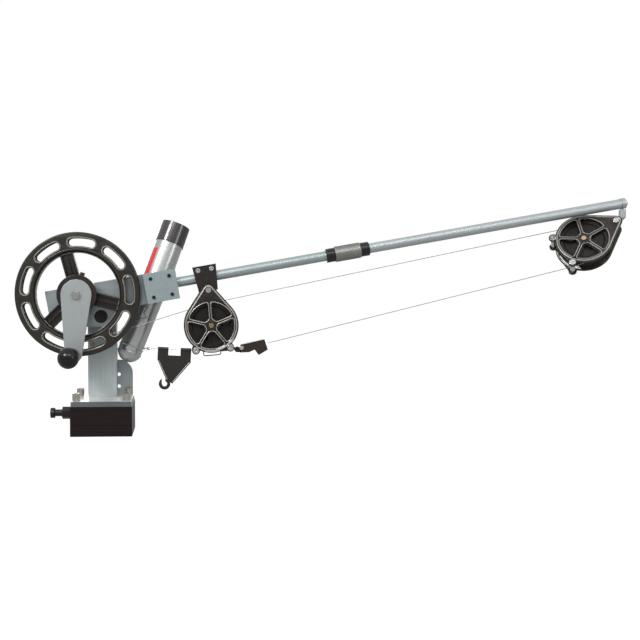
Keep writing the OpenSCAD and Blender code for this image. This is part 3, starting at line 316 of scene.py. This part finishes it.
def near_touch(a):
    """The point of the near pulley's groove at an angle from its top."""
    return near_hub + pitch_r * Vector((-math.sin(a), 0, math.cos(a)))


def far_touch(a):
    """The point of the far pulley's groove at an angle in the block's own plane."""
    return far_hub + pitch_r * (math.cos(a) * far_x + math.sin(a) * far_z)


def far_tangent(p, side):
    """The angle at which a line from a point touches the far pulley's groove."""
    a, b = (p - far_hub).dot(far_x), (p - far_hub).dot(far_z)
    return math.atan2(b, a) + side * math.acos(pitch_r / math.hypot(a, b))


far_up = far_tangent(near_touch(rise_out), -1) + 2 * math.pi
side_run, drop_run = (release_end - far_at).dot(far_y), (release_end - far_at).dot(far_z)
post_gap = 0.5
far_guide = far_place @ Vector((post.x + post_r + cable_r + post_gap,
                                side_run * (post.z + axle_drop) / (drop_run + axle_drop), post.z))
far_low = far_tangent(far_guide, 1)
cable_start = Vector((wheel_at.x + wind_r * math.cos(wind_end), line_y - wind_half,
                      wheel_at.z + wind_r * math.sin(wind_end)))
leave = Vector((math.cos(rise_in), 0, math.sin(rise_in)))
last_touch = far_touch(far_low)
near_steps, far_steps = 8, 36
start_gap, bend_l = 0.4, 3
run = ([cable_start + start_gap * leave]
       + [near_touch(rise_in + (rise_out - rise_in) * i / near_steps) for i in range(near_steps + 1)]
       + [far_touch(far_up + (far_low - far_up) * i / far_steps) for i in range(far_steps + 1)]
       + [far_guide + bend_l * (last_touch - far_guide).normalized(), far_guide,
          far_guide + bend_l * (release_end - far_guide).normalized(), release_end])
cable_steel = surface("cable_steel", (0.27, 0.27, 0.255), 0.85, 0.4, mottle=0.1, relief=0.3,
                      scale=900)
cable_line = piece("cable_line", wire_mesh(run, cable_r), [cable_steel], "reel")
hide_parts("cable_run")


# Tether: a steel wire looped round the rod holder, with two small rings and a crimp in it, that
# passes through the hook plate's barrels and ends at the near block's left corner post.
rod_foot = Vector((44.3, 22.95, 137.8))
rod_turn, rod_lean = 30.4, 23.1
rod_place = (Matrix.Translation(rod_foot) @ Matrix.Rotation(math.radians(rod_turn), 4, "Z")
             @ Matrix.Rotation(math.radians(rod_lean), 4, "Y"))
tether_in = Vector((88, line_y, 150))
tether_r = 0.8
tether_end = near_post_left + Vector((-post_r - tether_r, 0, -1))
tether = [tether_in + Vector(p) for p in (
    (-27, 27.5, -3), (-24, 21.5, -3), (-19.5, 14.5, -2), (-14.5, 8.5, -1), (-9, 3, 0), (-4, 0.5, 0),
    (0, 0, 0))] + [tether_end]
bright_steel = surface("bright_steel", (0.52, 0.52, 0.50), 1.0, 0.26, mottle=0.05)
tether_line = piece("tether_line", wire_mesh(tether, tether_r), [bright_steel], "near_block")
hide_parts("tether_wire")


# Foot and swivel block: machined aluminium, anodised black with a brown cast. The grain runs along
# the block, and the groove between the two is the line where the block turns on the foot.
def dress(names, material, edge=0.0004):
    """Gives solids that stay their finish, and breaks their sharp edges by a small rounding."""
    for name in names:
        solid = node[name]
        solid.data.materials.clear()
        solid.data.materials.append(material)
        if not edge:
            continue
        weld = solid.modifiers.new("weld", "WELD")
        weld.merge_threshold = 0.00001
        flat = solid.modifiers.new("flat", "DECIMATE")
        flat.decimate_type = "DISSOLVE"
        flat.angle_limit = math.radians(0.6)
        broken = solid.modifiers.new("broken_edge", "BEVEL")
        broken.width = edge
        broken.segments = 2
        broken.limit_method = "ANGLE"
        broken.angle_limit = math.radians(32)
        even = solid.modifiers.new("even", "WEIGHTED_NORMAL")
        even.weight = 60


black_anodised = surface("black_anodised", (0.0095, 0.0048, 0.0042), 0.0, 0.36, (0.6, 30, 30),
                         mottle=0.18, relief=0.12, streak=0.22, scale=40, specular=0.26)
dress(["base_foot", "swivel_block"], black_anodised, 0.0010)
dress(["swivel_post"], bright_steel)


# Base plate: thick anodised aluminium whose upward faces are painted near white as a painted
# highlight, held by four tall socket screws whose heads stand clear of it at the corners.
# The top faces' near white is a painted highlight; the sides keep the anodised grey.
plate_grey_painted_top_light = surface("plate_grey_painted_top_light", (0.155, 0.185, 0.192), 0.6, 0.30, (0.5, 40, 60), mottle=0.06,
                     relief=0.04, streak=0.08, scale=30, painted_top_light=(0.80, 0.78, 0.74))
dress(["base_plate"], plate_grey_painted_top_light, 0.0006)
warm_steel = surface("warm_steel", (0.44, 0.415, 0.375), 0.9, 0.33, (20, 20, 1), mottle=0.10)
dress(["base_screws", "column_screws"], warm_steel, 0.0006)


# Lock plunger: a black hexagon body screwed into the block, with a pull pin and a coil spring inside.
# The spring's six turns run from end to end of its solid.
black_oxide = surface("black_oxide", (0.012, 0.009, 0.008), 0.2, 0.34, mottle=0.15, relief=0.05)
dress(["plunger_body", "plunger_pin"], black_oxide, 0.0006)
spring_r, spring_z, spring_wire_r = 5.2, 34.5, 0.6
spring_turns, spring_steps = 6, 96
spring_low, spring_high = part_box("plunger_spring")
spring_from = 1000 * spring_low[0] + spring_wire_r
spring_l = 1000 * spring_high[0] - spring_wire_r - spring_from
spring_turn = spring_turns * math.tau / spring_steps
spring_route = [(spring_from + spring_l * i / spring_steps, spring_r * math.cos(spring_turn * i),
                 spring_z + spring_r * math.sin(spring_turn * i)) for i in range(spring_steps + 1)]
lock_spring = piece("lock_spring", wire_mesh(spring_route, spring_wire_r), [bright_steel], "turret")
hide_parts("plunger_spring")


# Column: a flat aluminium bar, brushed upright, with a round-topped bracket plate behind it. The
# tilt bolt passes through its top under a brown plastic cap.
for upright, finish, colour in (("column", "column_grey", (0.46, 0.515, 0.525)),
                                ("rear_bracket", "bracket_grey", (0.33, 0.375, 0.385))):
    brushed = surface(finish, colour, 0.5, 0.42, (60, 60, 0.6), mottle=0.12, relief=0.06,
                      streak=0.13, scale=26)
    dress([upright], brushed, 0.0008)
dress(["tilt_bolt"], bright_steel)
cap_brown = surface("cap_brown", (0.026, 0.022, 0.020), 0.0, 0.55, mottle=0.1, relief=0.1,
                    specular=0.3)
dress(["tilt_cap"], cap_brown, 0.0003)


# Frame: a box section that tilts on the column, the socket block for the boom in front of it, and
# the square cover plate that four dark screws hold on.
frame_blue = surface("frame_blue", (0.34, 0.385, 0.39), 0.6, 0.36, (0.6, 40, 40), mottle=0.12,
                     relief=0.05, streak=0.08, scale=26)
cover_blue = surface("cover_blue", (0.27, 0.325, 0.335), 0.35, 0.48, mottle=0.07, relief=0.10,
                     streak=0.05, scale=260)
dark_screw = surface("dark_screw", (0.022, 0.024, 0.028), 0.7, 0.4)
dress(["frame", "boom_socket", "rod_saddle"], frame_blue, 0.0008)
dress(["cover_plate"], cover_blue, 0.0008)
dress(["cover_screws"], dark_screw, 0.0003)


# Boom: two anodised tubes that join inside a knurled sleeve between two black collars, with a cap,
# a disc and a small nut on the far end.
boom_grey = surface("boom_grey", (0.42, 0.455, 0.46), 0.8, 0.46, (0.2, 1, 1), mottle=0.03,
                    streak=0.03, scale=20)
dress(["outer_boom", "boom_end", "far_swivel"], boom_grey, 0.0004)
inner_grey = surface("inner_grey", (0.34, 0.385, 0.395), 0.8, 0.44, (0.2, 1, 1), mottle=0.03,
                     streak=0.03, scale=20)
dress(["inner_boom"], inner_grey, 0.0004)
dress(["boom_spigot"], bright_steel, 0)
collar_black = surface("collar_black", (0.012, 0.012, 0.012), 0.3, 0.28, mottle=0.1, relief=0.05)
dress(["boom_collars"], collar_black, 0.0010)
knurl_olive = surface("knurl_olive", (0.25, 0.25, 0.235), 0.85, 0.42, mottle=0.1, relief=0.05)
tilt_pivot = (-2.2, 0, 204.5)
boom_slope, boom_rise = 10, 35.6
boom_place = (Matrix.Translation(tilt_pivot) @ Matrix.Rotation(math.radians(-boom_slope), 4, "Y")
              @ Matrix.Translation((0, line_y, boom_rise)))
coupler_from, coupler_to, coupler_r, boom_r = 418.7, 464.1, 13.5, 8.7


def outward(name, verts, faces):
    """A closed mesh with all its faces turned outwards."""
    mesh = bpy.data.meshes.new(name)
    mesh.from_pydata(verts, [], faces)
    check = bmesh.new()
    check.from_mesh(mesh)
    bmesh.ops.recalc_face_normals(check, faces=check.faces)
    check.to_mesh(mesh)
    check.free()
    return mesh


def knurled_sleeve(first, last, radius, bore, teeth=56, depth=0.35):
    """A tube along X whose outside has diamond knurling between two plain chamfered ends."""
    rows, rounds = 40, teeth * 4
    verts, faces = [], []
    profile = [(first, bore), (first, radius - 0.9), (first + 0.9, radius - depth)]
    profile += [(first + 2 + (last - first - 4) * i / rows, None) for i in range(rows + 1)]
    profile += [(last - 0.9, radius - depth), (last, radius - 0.9), (last, bore)]
    for x, r in profile:
        for k in range(rounds):
            a = math.tau * k / rounds
            turn = (x - first) / radius
            here = r if r else radius - depth + depth * max(
                abs(math.cos(teeth * (a + turn) / 2)), abs(math.cos(teeth * (a - turn) / 2))) ** 3
            verts.append((x, here * math.cos(a), here * math.sin(a)))
    rings = len(profile)
    for i in range(rings):
        j = (i + 1) % rings
        for k in range(rounds):
            n = (k + 1) % rounds
            faces.append((i * rounds + k, j * rounds + k, j * rounds + n, i * rounds + n))
    return outward("sleeve", verts, faces)


coupler = piece("coupler_knurl", knurled_sleeve(coupler_from, coupler_to, coupler_r, boom_r),
                [knurl_olive], "coupler", boom_place, sharp=60)
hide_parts("coupler_sleeve")


# Wheel: one moulding in a very dark olive. Two slotted flanges stand on a barrel, a bead runs round
# each slot and round the inner rim, and three ribbed spokes reach the hub. The beads are coloured
# light grey, a painted highlight on the moulding's own dark olive.
def plate_mesh(loops, low, high, edge):
    """A flat plate along Y from low to high, cut to closed loops in X and Z, with round edges."""
    curve = bpy.data.curves.new("outline", "CURVE")
    curve.dimensions = "2D"
    curve.fill_mode = "BOTH"
    curve.extrude = (high - low) / 2 - edge
    curve.bevel_depth = edge
    curve.bevel_resolution = 2
    curve.offset = -edge
    for loop in loops:
        add_route(curve, [(x, z, 0) for x, z in loop], True)
    mesh = flattened(curve)
    mesh.transform(Matrix.Translation((0, (low + high) / 2, 0))
                   @ Matrix.Rotation(math.radians(90), 4, "X"))
    return mesh


def circle(r, steps, y=0.0):
    """Points on a circle about the Y axis."""
    return [(r * math.cos(math.tau * k / steps), y, r * math.sin(math.tau * k / steps))
            for k in range(steps)]


def turned_mesh(profile, steps):
    """A closed profile of radius and depth, turned about the Y axis."""
    verts = [p for r, y in profile for p in circle(r, steps, y)]
    rings = len(profile)
    faces = [(i * steps + k, i * steps + (k + 1) % steps, (i + 1) % rings * steps + (k + 1) % steps,
              (i + 1) % rings * steps + k) for i in range(rings) for k in range(steps)]
    return outward("turned", verts, faces)


def second_finish(mesh):
    """Gives a mesh the second of its piece's two finishes."""
    mesh.polygons.foreach_set("material_index", [1] * len(mesh.polygons))
    return mesh


def arc(centre, r, first, last, steps):
    """Points on an arc, with its angles in degrees."""
    return [(centre[0] + r * math.cos(math.radians(first + (last - first) * i / steps)),
             centre[1] + r * math.sin(math.radians(first + (last - first) * i / steps)))
            for i in range(steps + 1)]


def slot_loop(middle, grow, mid_r=89.4, width=13, length=47):
    """One slot's outline, bent round the wheel's axis, grown all round by some millimetres."""
    half = math.degrees((length - width) / 2 / mid_r)
    w = width / 2 + grow
    ends = [(mid_r * math.cos(math.radians(middle + s * half)),
             mid_r * math.sin(math.radians(middle + s * half))) for s in (1, -1)]
    return (arc((0, 0), mid_r + w, middle - half, middle + half, 16)
            + arc(ends[0], w, middle + half + 15, middle + half + 165, 10)
            + arc((0, 0), mid_r - w, middle + half, middle - half, 16)
            + arc(ends[1], w, middle - half + 195, middle - half + 345, 10))


def bar_loop(angle, inner, outer, left, right):
    """A straight bar from one radius to another, between two distances from its middle line."""
    c, s = math.cos(math.radians(angle)), math.sin(math.radians(angle))
    return [(r * c - o * s, r * s + o * c)
            for r, o in ((inner, left), (outer, left), (outer, right), (inner, right))]


wheel_olive = surface("wheel_olive", (0.030, 0.0275, 0.023), 0.55, 0.36, mottle=0.14, relief=0.10,
                      streak=0.12, scale=150, coat=0.12)
# The beads' light grey is a painted highlight on the dark olive moulding.
wheel_lip_painted_highlight = surface("wheel_lip_painted_highlight", (0.25, 0.24, 0.22), 0.6, 0.48, mottle=0.15, scale=8)
rim_half, flange_t, flange_edge = 11.75, 4.5, 1.7
wheel_r, rim_inner_r = 106.6, 77.8
spoke_from, spoke_to, rib_to = 20, 75, 74.5
slots = [85 + 40 * k for k in range(9)]
parts = []
for side in (-1, 1):
    low, high = sorted((side * rim_half, side * (rim_half - flange_t)))
    parts.append(plate_mesh([arc((0, 0), r, 0, 358, 179) for r in (wheel_r, rim_inner_r)]
                            + [slot_loop(a, 0) for a in slots], low, high, flange_edge))
    for a in slots:
        bead = [(x, side * (rim_half - 0.35), z) for x, z in slot_loop(a, flange_edge)]
        parts.append(second_finish(wire_mesh(bead, 1.0, closed=True, sides=1)))
barrel_front = [(79, -7.25), (79, -11.2), (78.6, -12.1), (77.4, -12.6), (76, -12.5), (75, -11.7),
                (73.5, -10.2), (71.6, -7), (71, -6)]
parts.append(turned_mesh(barrel_front + [(r, -y) for r, y in reversed(barrel_front)]
                         + [(77, 7.25), (77, -7.25)], 180))
parts.append(second_finish(wire_mesh(circle(71.7, 180, -7.6), 0.8, closed=True, sides=1)))
for a in (105, 225, 345):
    parts.append(plate_mesh([bar_loop(a, spoke_from, spoke_to, -11.5, 11.5)], -4, 4, 0.5))
    for left, right, half, edge in ((-11.5, -8.3, 9, 0.9), (8.3, 11.5, 9, 0.9),
                                    (-1.1, 1.1, 8.5, 0.7)):
        rib = bar_loop(a, spoke_from, rib_to, left, right)
        parts.append(plate_mesh([rib], -half, half, edge))
hub_front = [(11.05, -11.2), (12, -11.75), (28.5, -11.75), (30, -10.5)]
parts.append(turned_mesh(hub_front + [(r, -y) for r, y in reversed(hub_front)], 96))
hub_lug = bar_loop(77, 27, 38.5, -3.8, 3.8)
parts.append(plate_mesh([hub_lug], -8, 8, 1.5))
wheel_place = Matrix.Translation((wheel_at.x, line_y, wheel_at.z))
wheel = piece("wheel", joined(*parts), [wheel_olive, wheel_lip_painted_highlight], "reel",
              wheel_place)
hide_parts("spool")
brass = surface("brass", (0.42, 0.31, 0.18), 1.0, 0.34, mottle=0.12)
dress(["spool_bushing", "near_axle", "far_axle"], brass, 0.0003)
dress(["spindle", "gimbal_pin", "knob_bolt"], bright_steel, 0.0003)


# Wound cable: the lower layers are one ribbed pack on the barrel, and the outer layer is the cable
# itself, seven unbroken turns from the back flange to the place where it leaves the wheel.
core_ribs, core_half, core_side = 8, 6.1, 7.2
core_inner_r, core_shoulder_r, core_r = 77.1, 80.2, 80.6
rib_rise, rib_half = 0.28, 0.87
pack = [(core_inner_r, -core_side), (core_shoulder_r, -core_side)]
for i in range(core_ribs):
    middle = -core_half + 2 * core_half * i / (core_ribs - 1)
    pack += [(core_r + rib_rise * math.cos(math.pi * t / 3), middle + rib_half * t / 3)
             for t in range(-3, 3)]
pack += [(core_shoulder_r, core_side), (core_inner_r, core_side)]
cable_pack = piece("cable_pack", turned_mesh(pack, 96), [cable_steel], "reel",
                   wheel_place)
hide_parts("cable_core")
turn_steps = 60
coil_steps = wind_turns * turn_steps
coil = []
for i in range(coil_steps + 1):
    a = wind_end - math.tau * (coil_steps - i) / turn_steps
    coil.append((wheel_at.x + wind_r * math.cos(a),
                 line_y + wind_half - 2 * wind_half * i / coil_steps,
                 wheel_at.z + wind_r * math.sin(a)))
cable_coil = piece("cable_coil", wire_mesh(coil, cable_r, sides=1), [cable_steel], "reel")
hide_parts("cable_winding")


# Crank: a dark bronze drag disc against the hub, a satin arm over it, a bright bolt and a glossy
# black ball knob that spins on its own bolt.
bronze_disc = surface("bronze_disc", (0.055, 0.048, 0.041), 0.8, 0.28, mottle=0.12, streak=0.12)
dress(["drag_disc"], bronze_disc, 0.0012)
arm_satin = surface("arm_satin", (0.385, 0.415, 0.42), 0.5, 0.36, (40, 40, 1), mottle=0.06,
                    relief=0.05, streak=0.05, scale=40)
dress(["crank_arm"], arm_satin, 0.0010)
dress(["crank_bolt"], bright_steel, 0.0008)
knob_black = surface("knob_black", (0.006, 0.005, 0.005), 0.0, 0.20, mottle=0.1, specular=0.34)
dress(["knob"], knob_black, 0.0004)


# Rod holder: a satin aluminium tube with a taper above its domed foot and a rolled ring between them,
# a glossy black sleeve at its mouth, a plain red stripe down its left side, and the tether's loop,
# rings and crimp.
tube_bright = surface("tube_bright", (0.46, 0.475, 0.47), 0.8, 0.30, (1, 1, 0.2), mottle=0.04,
                      streak=0.04, scale=20)
dress(["rod_tube"], tube_bright, 0.0005)
sleeve_black = surface("sleeve_black", (0.05, 0.046, 0.045), 0.6, 0.24, mottle=0.05, streak=0.0,
                       scale=8, coat=0.8)
dress(["rod_sleeve"], sleeve_black, 0.0008)
rod_foot_r, rod_mouth_r, rod_taper_l = 21.4, 25.4, 140
foot_ring = turned_mesh([(rod_foot_r + out, h) for out, h in (
    (-0.1, -1.4), (0.5, -1.1), (0.9, 0), (0.5, 1.1), (-0.1, 1.4))], 96)
foot_ring.transform(Matrix.Rotation(math.radians(90), 4, "X"))
piece("foot_ring", foot_ring, [tube_bright], "arm", rod_place)


def tube_r(h):
    """The tube's outer radius at a height above its foot."""
    return rod_foot_r + (rod_mouth_r - rod_foot_r) * min(1, h / rod_taper_l)


stripe_rows, stripe_columns = 40, 8
stripe_low, stripe_l = 46, 148
stripe_first, stripe_span = 168, 32.8
stripe_proud = 0.15
stripe_verts, stripe_faces = [], []
for i in range(stripe_rows + 1):
    for k in range(stripe_columns + 1):
        a = math.radians(stripe_first + stripe_span * k / stripe_columns)
        h = stripe_low + stripe_l * i / stripe_rows
        r = tube_r(h) + stripe_proud
        stripe_verts.append((r * math.cos(a), r * math.sin(a), h))
for i in range(stripe_rows):
    for k in range(stripe_columns):
        n = i * (stripe_columns + 1) + k
        stripe_faces.append((n, n + 1, n + stripe_columns + 2, n + stripe_columns + 1))
stripe = bpy.data.meshes.new("stripe")
stripe.from_pydata(stripe_verts, [], stripe_faces)
stripe_red = surface("stripe_red", (0.62, 0.028, 0.035), 0.0, 0.38, mottle=0.08, relief=0.05,
                     scale=300)
piece("tube_stripe", stripe, [stripe_red], "arm", rod_place)
loop_from = rod_place.inverted() @ tether[0]
loop_r = tube_r(loop_from.z) + tether_r
loop_steps = 64
tether_loop = [(loop_r * math.cos(math.tau * k / loop_steps),
                loop_r * math.sin(math.tau * k / loop_steps), loop_from.z) for k in range(loop_steps)]
piece("tether_loop", wire_mesh(tether_loop, tether_r, closed=True, sides=1), [bright_steel], "arm",
      rod_place)
rings = []
for centre, r, turn in (((75.6, -15.2, 148.3), 2.6, -10), ((81.2, -18.9, 149.2), 2.4, 45)):
    ring = wire_mesh(circle(r, 24), 0.75, closed=True, sides=1)
    ring.transform(Matrix.Translation(centre) @ Matrix.Rotation(math.radians(turn), 4, "Z"))
    rings.append(ring)
rings.append(wire_mesh([(86, -21, 150), (92, -21, 149.8)], 1.5, sides=2))
piece("tether_rings", joined(*rings), [bright_steel], "near_block")


# Wire snap: a thin dark steel wire bent in an open zigzag, below the frame and in front of the rod
# holder's tube. What holds it isn't seen, so its depth is a guess.
snap_y = -6.6
snap = [(x, snap_y, z) for x, z in (
    (60.5, 223.5), (70, 222), (78.5, 222.6), (79, 220.5), (72, 211), (76, 203.5), (75, 201.6),
    (62.5, 199.6), (61.5, 201), (68, 202.6))]
snap_wire = surface("snap_wire", (0.03, 0.028, 0.027), 0.6, 0.3, mottle=0.1)
piece("wire_snap", wire_mesh(snap, 0.75, sides=1), [snap_wire], "arm")


# Pulley blocks: two moulded black side plates, each a round body drawn to a tip with two corner
# ears. A raised bead follows the outline and rims each of the five windows that show the pulley
# between the plates; the beads are coloured light grey, a painted highlight on the black moulding.
def link_loop(r1, r2, d):
    """The outline of two circles, one a distance below the other, joined by their tangents."""
    lean = math.degrees(math.acos((r2 - r1) / d))
    return (arc((0, 0), r1, 90 - lean, 90 + lean, 24)
            + arc((0, -d), r2, 90 + lean, 450 - lean, 64))


body_r, tip_r, ear_r = 47.2, 10.4, 7.0


def block_loop():
    """A side plate's outline: a round body drawn to a tip, with an ear round each corner post."""
    hub, out = (0, -axle_drop), post_angle - 90
    lean = math.degrees(math.acos((body_r - tip_r) / axle_drop))
    cut = math.degrees(math.acos(
        (post_out ** 2 + body_r ** 2 - ear_r ** 2) / (2 * post_out * body_r)))
    ear = 180 - math.degrees(math.acos(
        (post_out ** 2 + ear_r ** 2 - body_r ** 2) / (2 * post_out * ear_r)))
    half = (arc(hub, body_r, -90, out - cut, 10)
            + arc((post.x, post.z), ear_r, out - ear * 0.86, out + ear * 0.86, 18)
            + arc(hub, body_r, out + cut, 90 - lean, 32) + arc((0, 0), tip_r, 96 - lean, 90, 10))
    return half + [(-x, z) for x, z in reversed(half[1:-1])]


windows, window_turn, window_first = 5, 72, 18


def window_loop(k, rib=6.75, inner=11.0, outer=39.4, corner=4.0):
    """One of the openings between the spokes, with its corners rounded."""
    first = window_first + window_turn * k

    def side(r):
        d = min(r - inner, outer - r, corner)
        cut = corner - math.sqrt(max(corner ** 2 - (corner - d) ** 2, 0))
        return math.degrees(math.asin((rib / 2 + cut) / r))

    steps = [corner * (1 - math.cos(math.radians(15 * i))) for i in range(7)]
    radii = [inner + s for s in steps] + [outer - s for s in reversed(steps)]
    up = [(r, first + side(r)) for r in radii]
    across = [(outer, up[-1][1] + (window_turn - 2 * side(outer)) * i / 10) for i in range(1, 10)]
    down = [(r, first + window_turn - side(r)) for r in reversed(radii)]
    return [(r * math.cos(math.radians(a)), r * math.sin(math.radians(a)) - axle_drop)
            for r, a in up + across + down]


plate_inner_y, plate_outer_y = 13.4, 17.4
pad_profile = [(5.5, 16.9), (5.5, 18.3), (6.0, 18.6), (6.6, 18.5), (6.95, 18.0), (6.95, 16.9)]
axle_hole_r, eye_steps = 3.05, 23


def side_plate_mesh(side, eye):
    """A front (-1) or rear (1) side plate with its beads and its ears' raised pads."""
    low, high = sorted((side * plate_inner_y, side * plate_outer_y))
    holes = [window_loop(k) for k in range(windows)]
    holes += [arc(centre, r, 0, 345, eye_steps)
              for centre, r in (((0, 0), eye), ((0, -axle_drop), axle_hole_r))]
    body = plate_mesh([block_loop()] + holes, low, high, 1.3)
    bead_in = 3.5
    bead = [(x, side * (plate_outer_y + 0.1), z)
            for x, z in link_loop(tip_r - bead_in, body_r - bead_in, axle_drop)]
    parts = [body, second_finish(wire_mesh(bead, 1.35, closed=True, sides=2))]
    for k in range(windows):
        rim = [(x, side * (plate_outer_y - 0.1), z)
               for x, z in window_loop(k, rib=3.6, inner=9.5, outer=40.6, corner=4.6)]
        parts.append(second_finish(wire_mesh(rim, 0.8, closed=True, sides=1)))
    for x in (-1, 1):
        pad = turned_mesh([(r, side * y) for r, y in pad_profile], 32)
        pad.transform(Matrix.Translation((x * post.x, 0, post.z)))
        parts.append(pad)
    return joined(*parts)


block_black = surface("block_black", (0.0135, 0.0092, 0.0078), 0.0, 0.40, mottle=0.30, relief=0.30,
                      streak=0.30, scale=180, specular=0.40)
# The beads' light grey is a painted highlight on the black plastic, not a polish of its own.
edge_painted_highlight = surface("edge_painted_highlight", (0.36, 0.345, 0.32), 0.7, 0.42, mottle=0.2, scale=8)
for end, place, eye in (("near", near_place, 3.25), ("far", far_place, 3.05)):
    for face, y_side in (("front", -1), ("rear", 1)):
        side_plate = piece(f"{end}_{face}_side", side_plate_mesh(y_side, eye),
                           [block_black, edge_painted_highlight], end + "_block", place)
        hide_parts(f"{end}_{face}_plate")
dress(["hanger_plates"], block_black, 0.0009)
sheave_black = surface("sheave_black", (0.012, 0.009, 0.008), 0.0, 0.45, mottle=0.35, relief=0.2,
                       scale=90, specular=0.25)
dress(["near_sheave", "far_sheave"], sheave_black, 0.0006)
bolt_bright = surface("bolt_bright", (0.62, 0.62, 0.60), 1.0, 0.20, mottle=0.10)
dress(["hanger_screws", "near_pivot", "near_posts", "far_pivot_pin", "far_posts",
       "release_screw"], bolt_bright, 0.0013)


# Line guard: a bent wire, a flat rounded loop under the near block with two legs up to its posts.
def round_loop(half_w, low, high, r, y):
    """A rectangle with round corners, in the plane at y."""
    return [(x, y, z) for x, z in
            arc((half_w - r, high - r), r, 0, 90, 5) + arc((r - half_w, high - r), r, 90, 180, 5)
            + arc((r - half_w, low + r), r, 180, 270, 5) + arc((half_w - r, low + r), r, 270, 360, 5)]


guard_wire = surface("guard_wire", (0.06, 0.055, 0.05), 0.6, 0.3, mottle=0.1)
guard_y, guard_r, guard_left = -7, 1.0, 2
legs = [wire_mesh([(s * 24.9, guard_y, post.z - 1), (s * 20, guard_y, post.z - 1.6),
                   (s * 14.2, guard_y, post.z - 3.4)], guard_r, sides=1) for s in (-1, 1)]
guard_route = [(x - guard_left, y, z)
               for x, y, z in round_loop(15, post.z - 11.4, post.z - 2.4, 3.4, guard_y)]
guard = piece("guard_loop", joined(wire_mesh(guard_route, guard_r, closed=True, sides=1), *legs),
              [guard_wire], "near_block", near_place)
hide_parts("line_guard")


# Line release and hook plate: moulded black plastic with a fine grain. The hook plate has a bead
# down both slanted sides, on its front and its back, coloured light grey as a painted highlight.
release_black = surface("release_black", (0.0185, 0.0125, 0.0095), 0.0, 0.30, mottle=0.22,
                        relief=0.2, scale=200, specular=0.5)
dress(["release_link", "release_arm", "release_jaw"], release_black, 0.0009)
hook_black = surface("hook_black", (0.0175, 0.0145, 0.013), 0.0, 0.40, mottle=0.22, relief=0.3,
                     scale=240, specular=0.42)
dress(["hook_plate"], hook_black, 0.0008)
hook_slope, hook_from = 2.96497, 9
hook_place = (Matrix.Translation(tether_in) @ Matrix.Rotation(math.radians(hook_slope), 4, "Y")
              @ Matrix.Translation((hook_from, 0, 0)))
# The hook beads' light grey is a painted highlight on the black plastic.
hook_sides = ((2.2, -20.0, 18.6, -53.0), (55.8, -21.6, 28.2, -57.2))
hook_beads = [wire_mesh([(x0, y, z0), (x1, y, z1)], 1.0, sides=2)
              for y in (-1.35, 1.35) for x0, z0, x1, z1 in hook_sides]
piece("hook_beads", joined(*hook_beads), [edge_painted_highlight], "hook", hook_place)
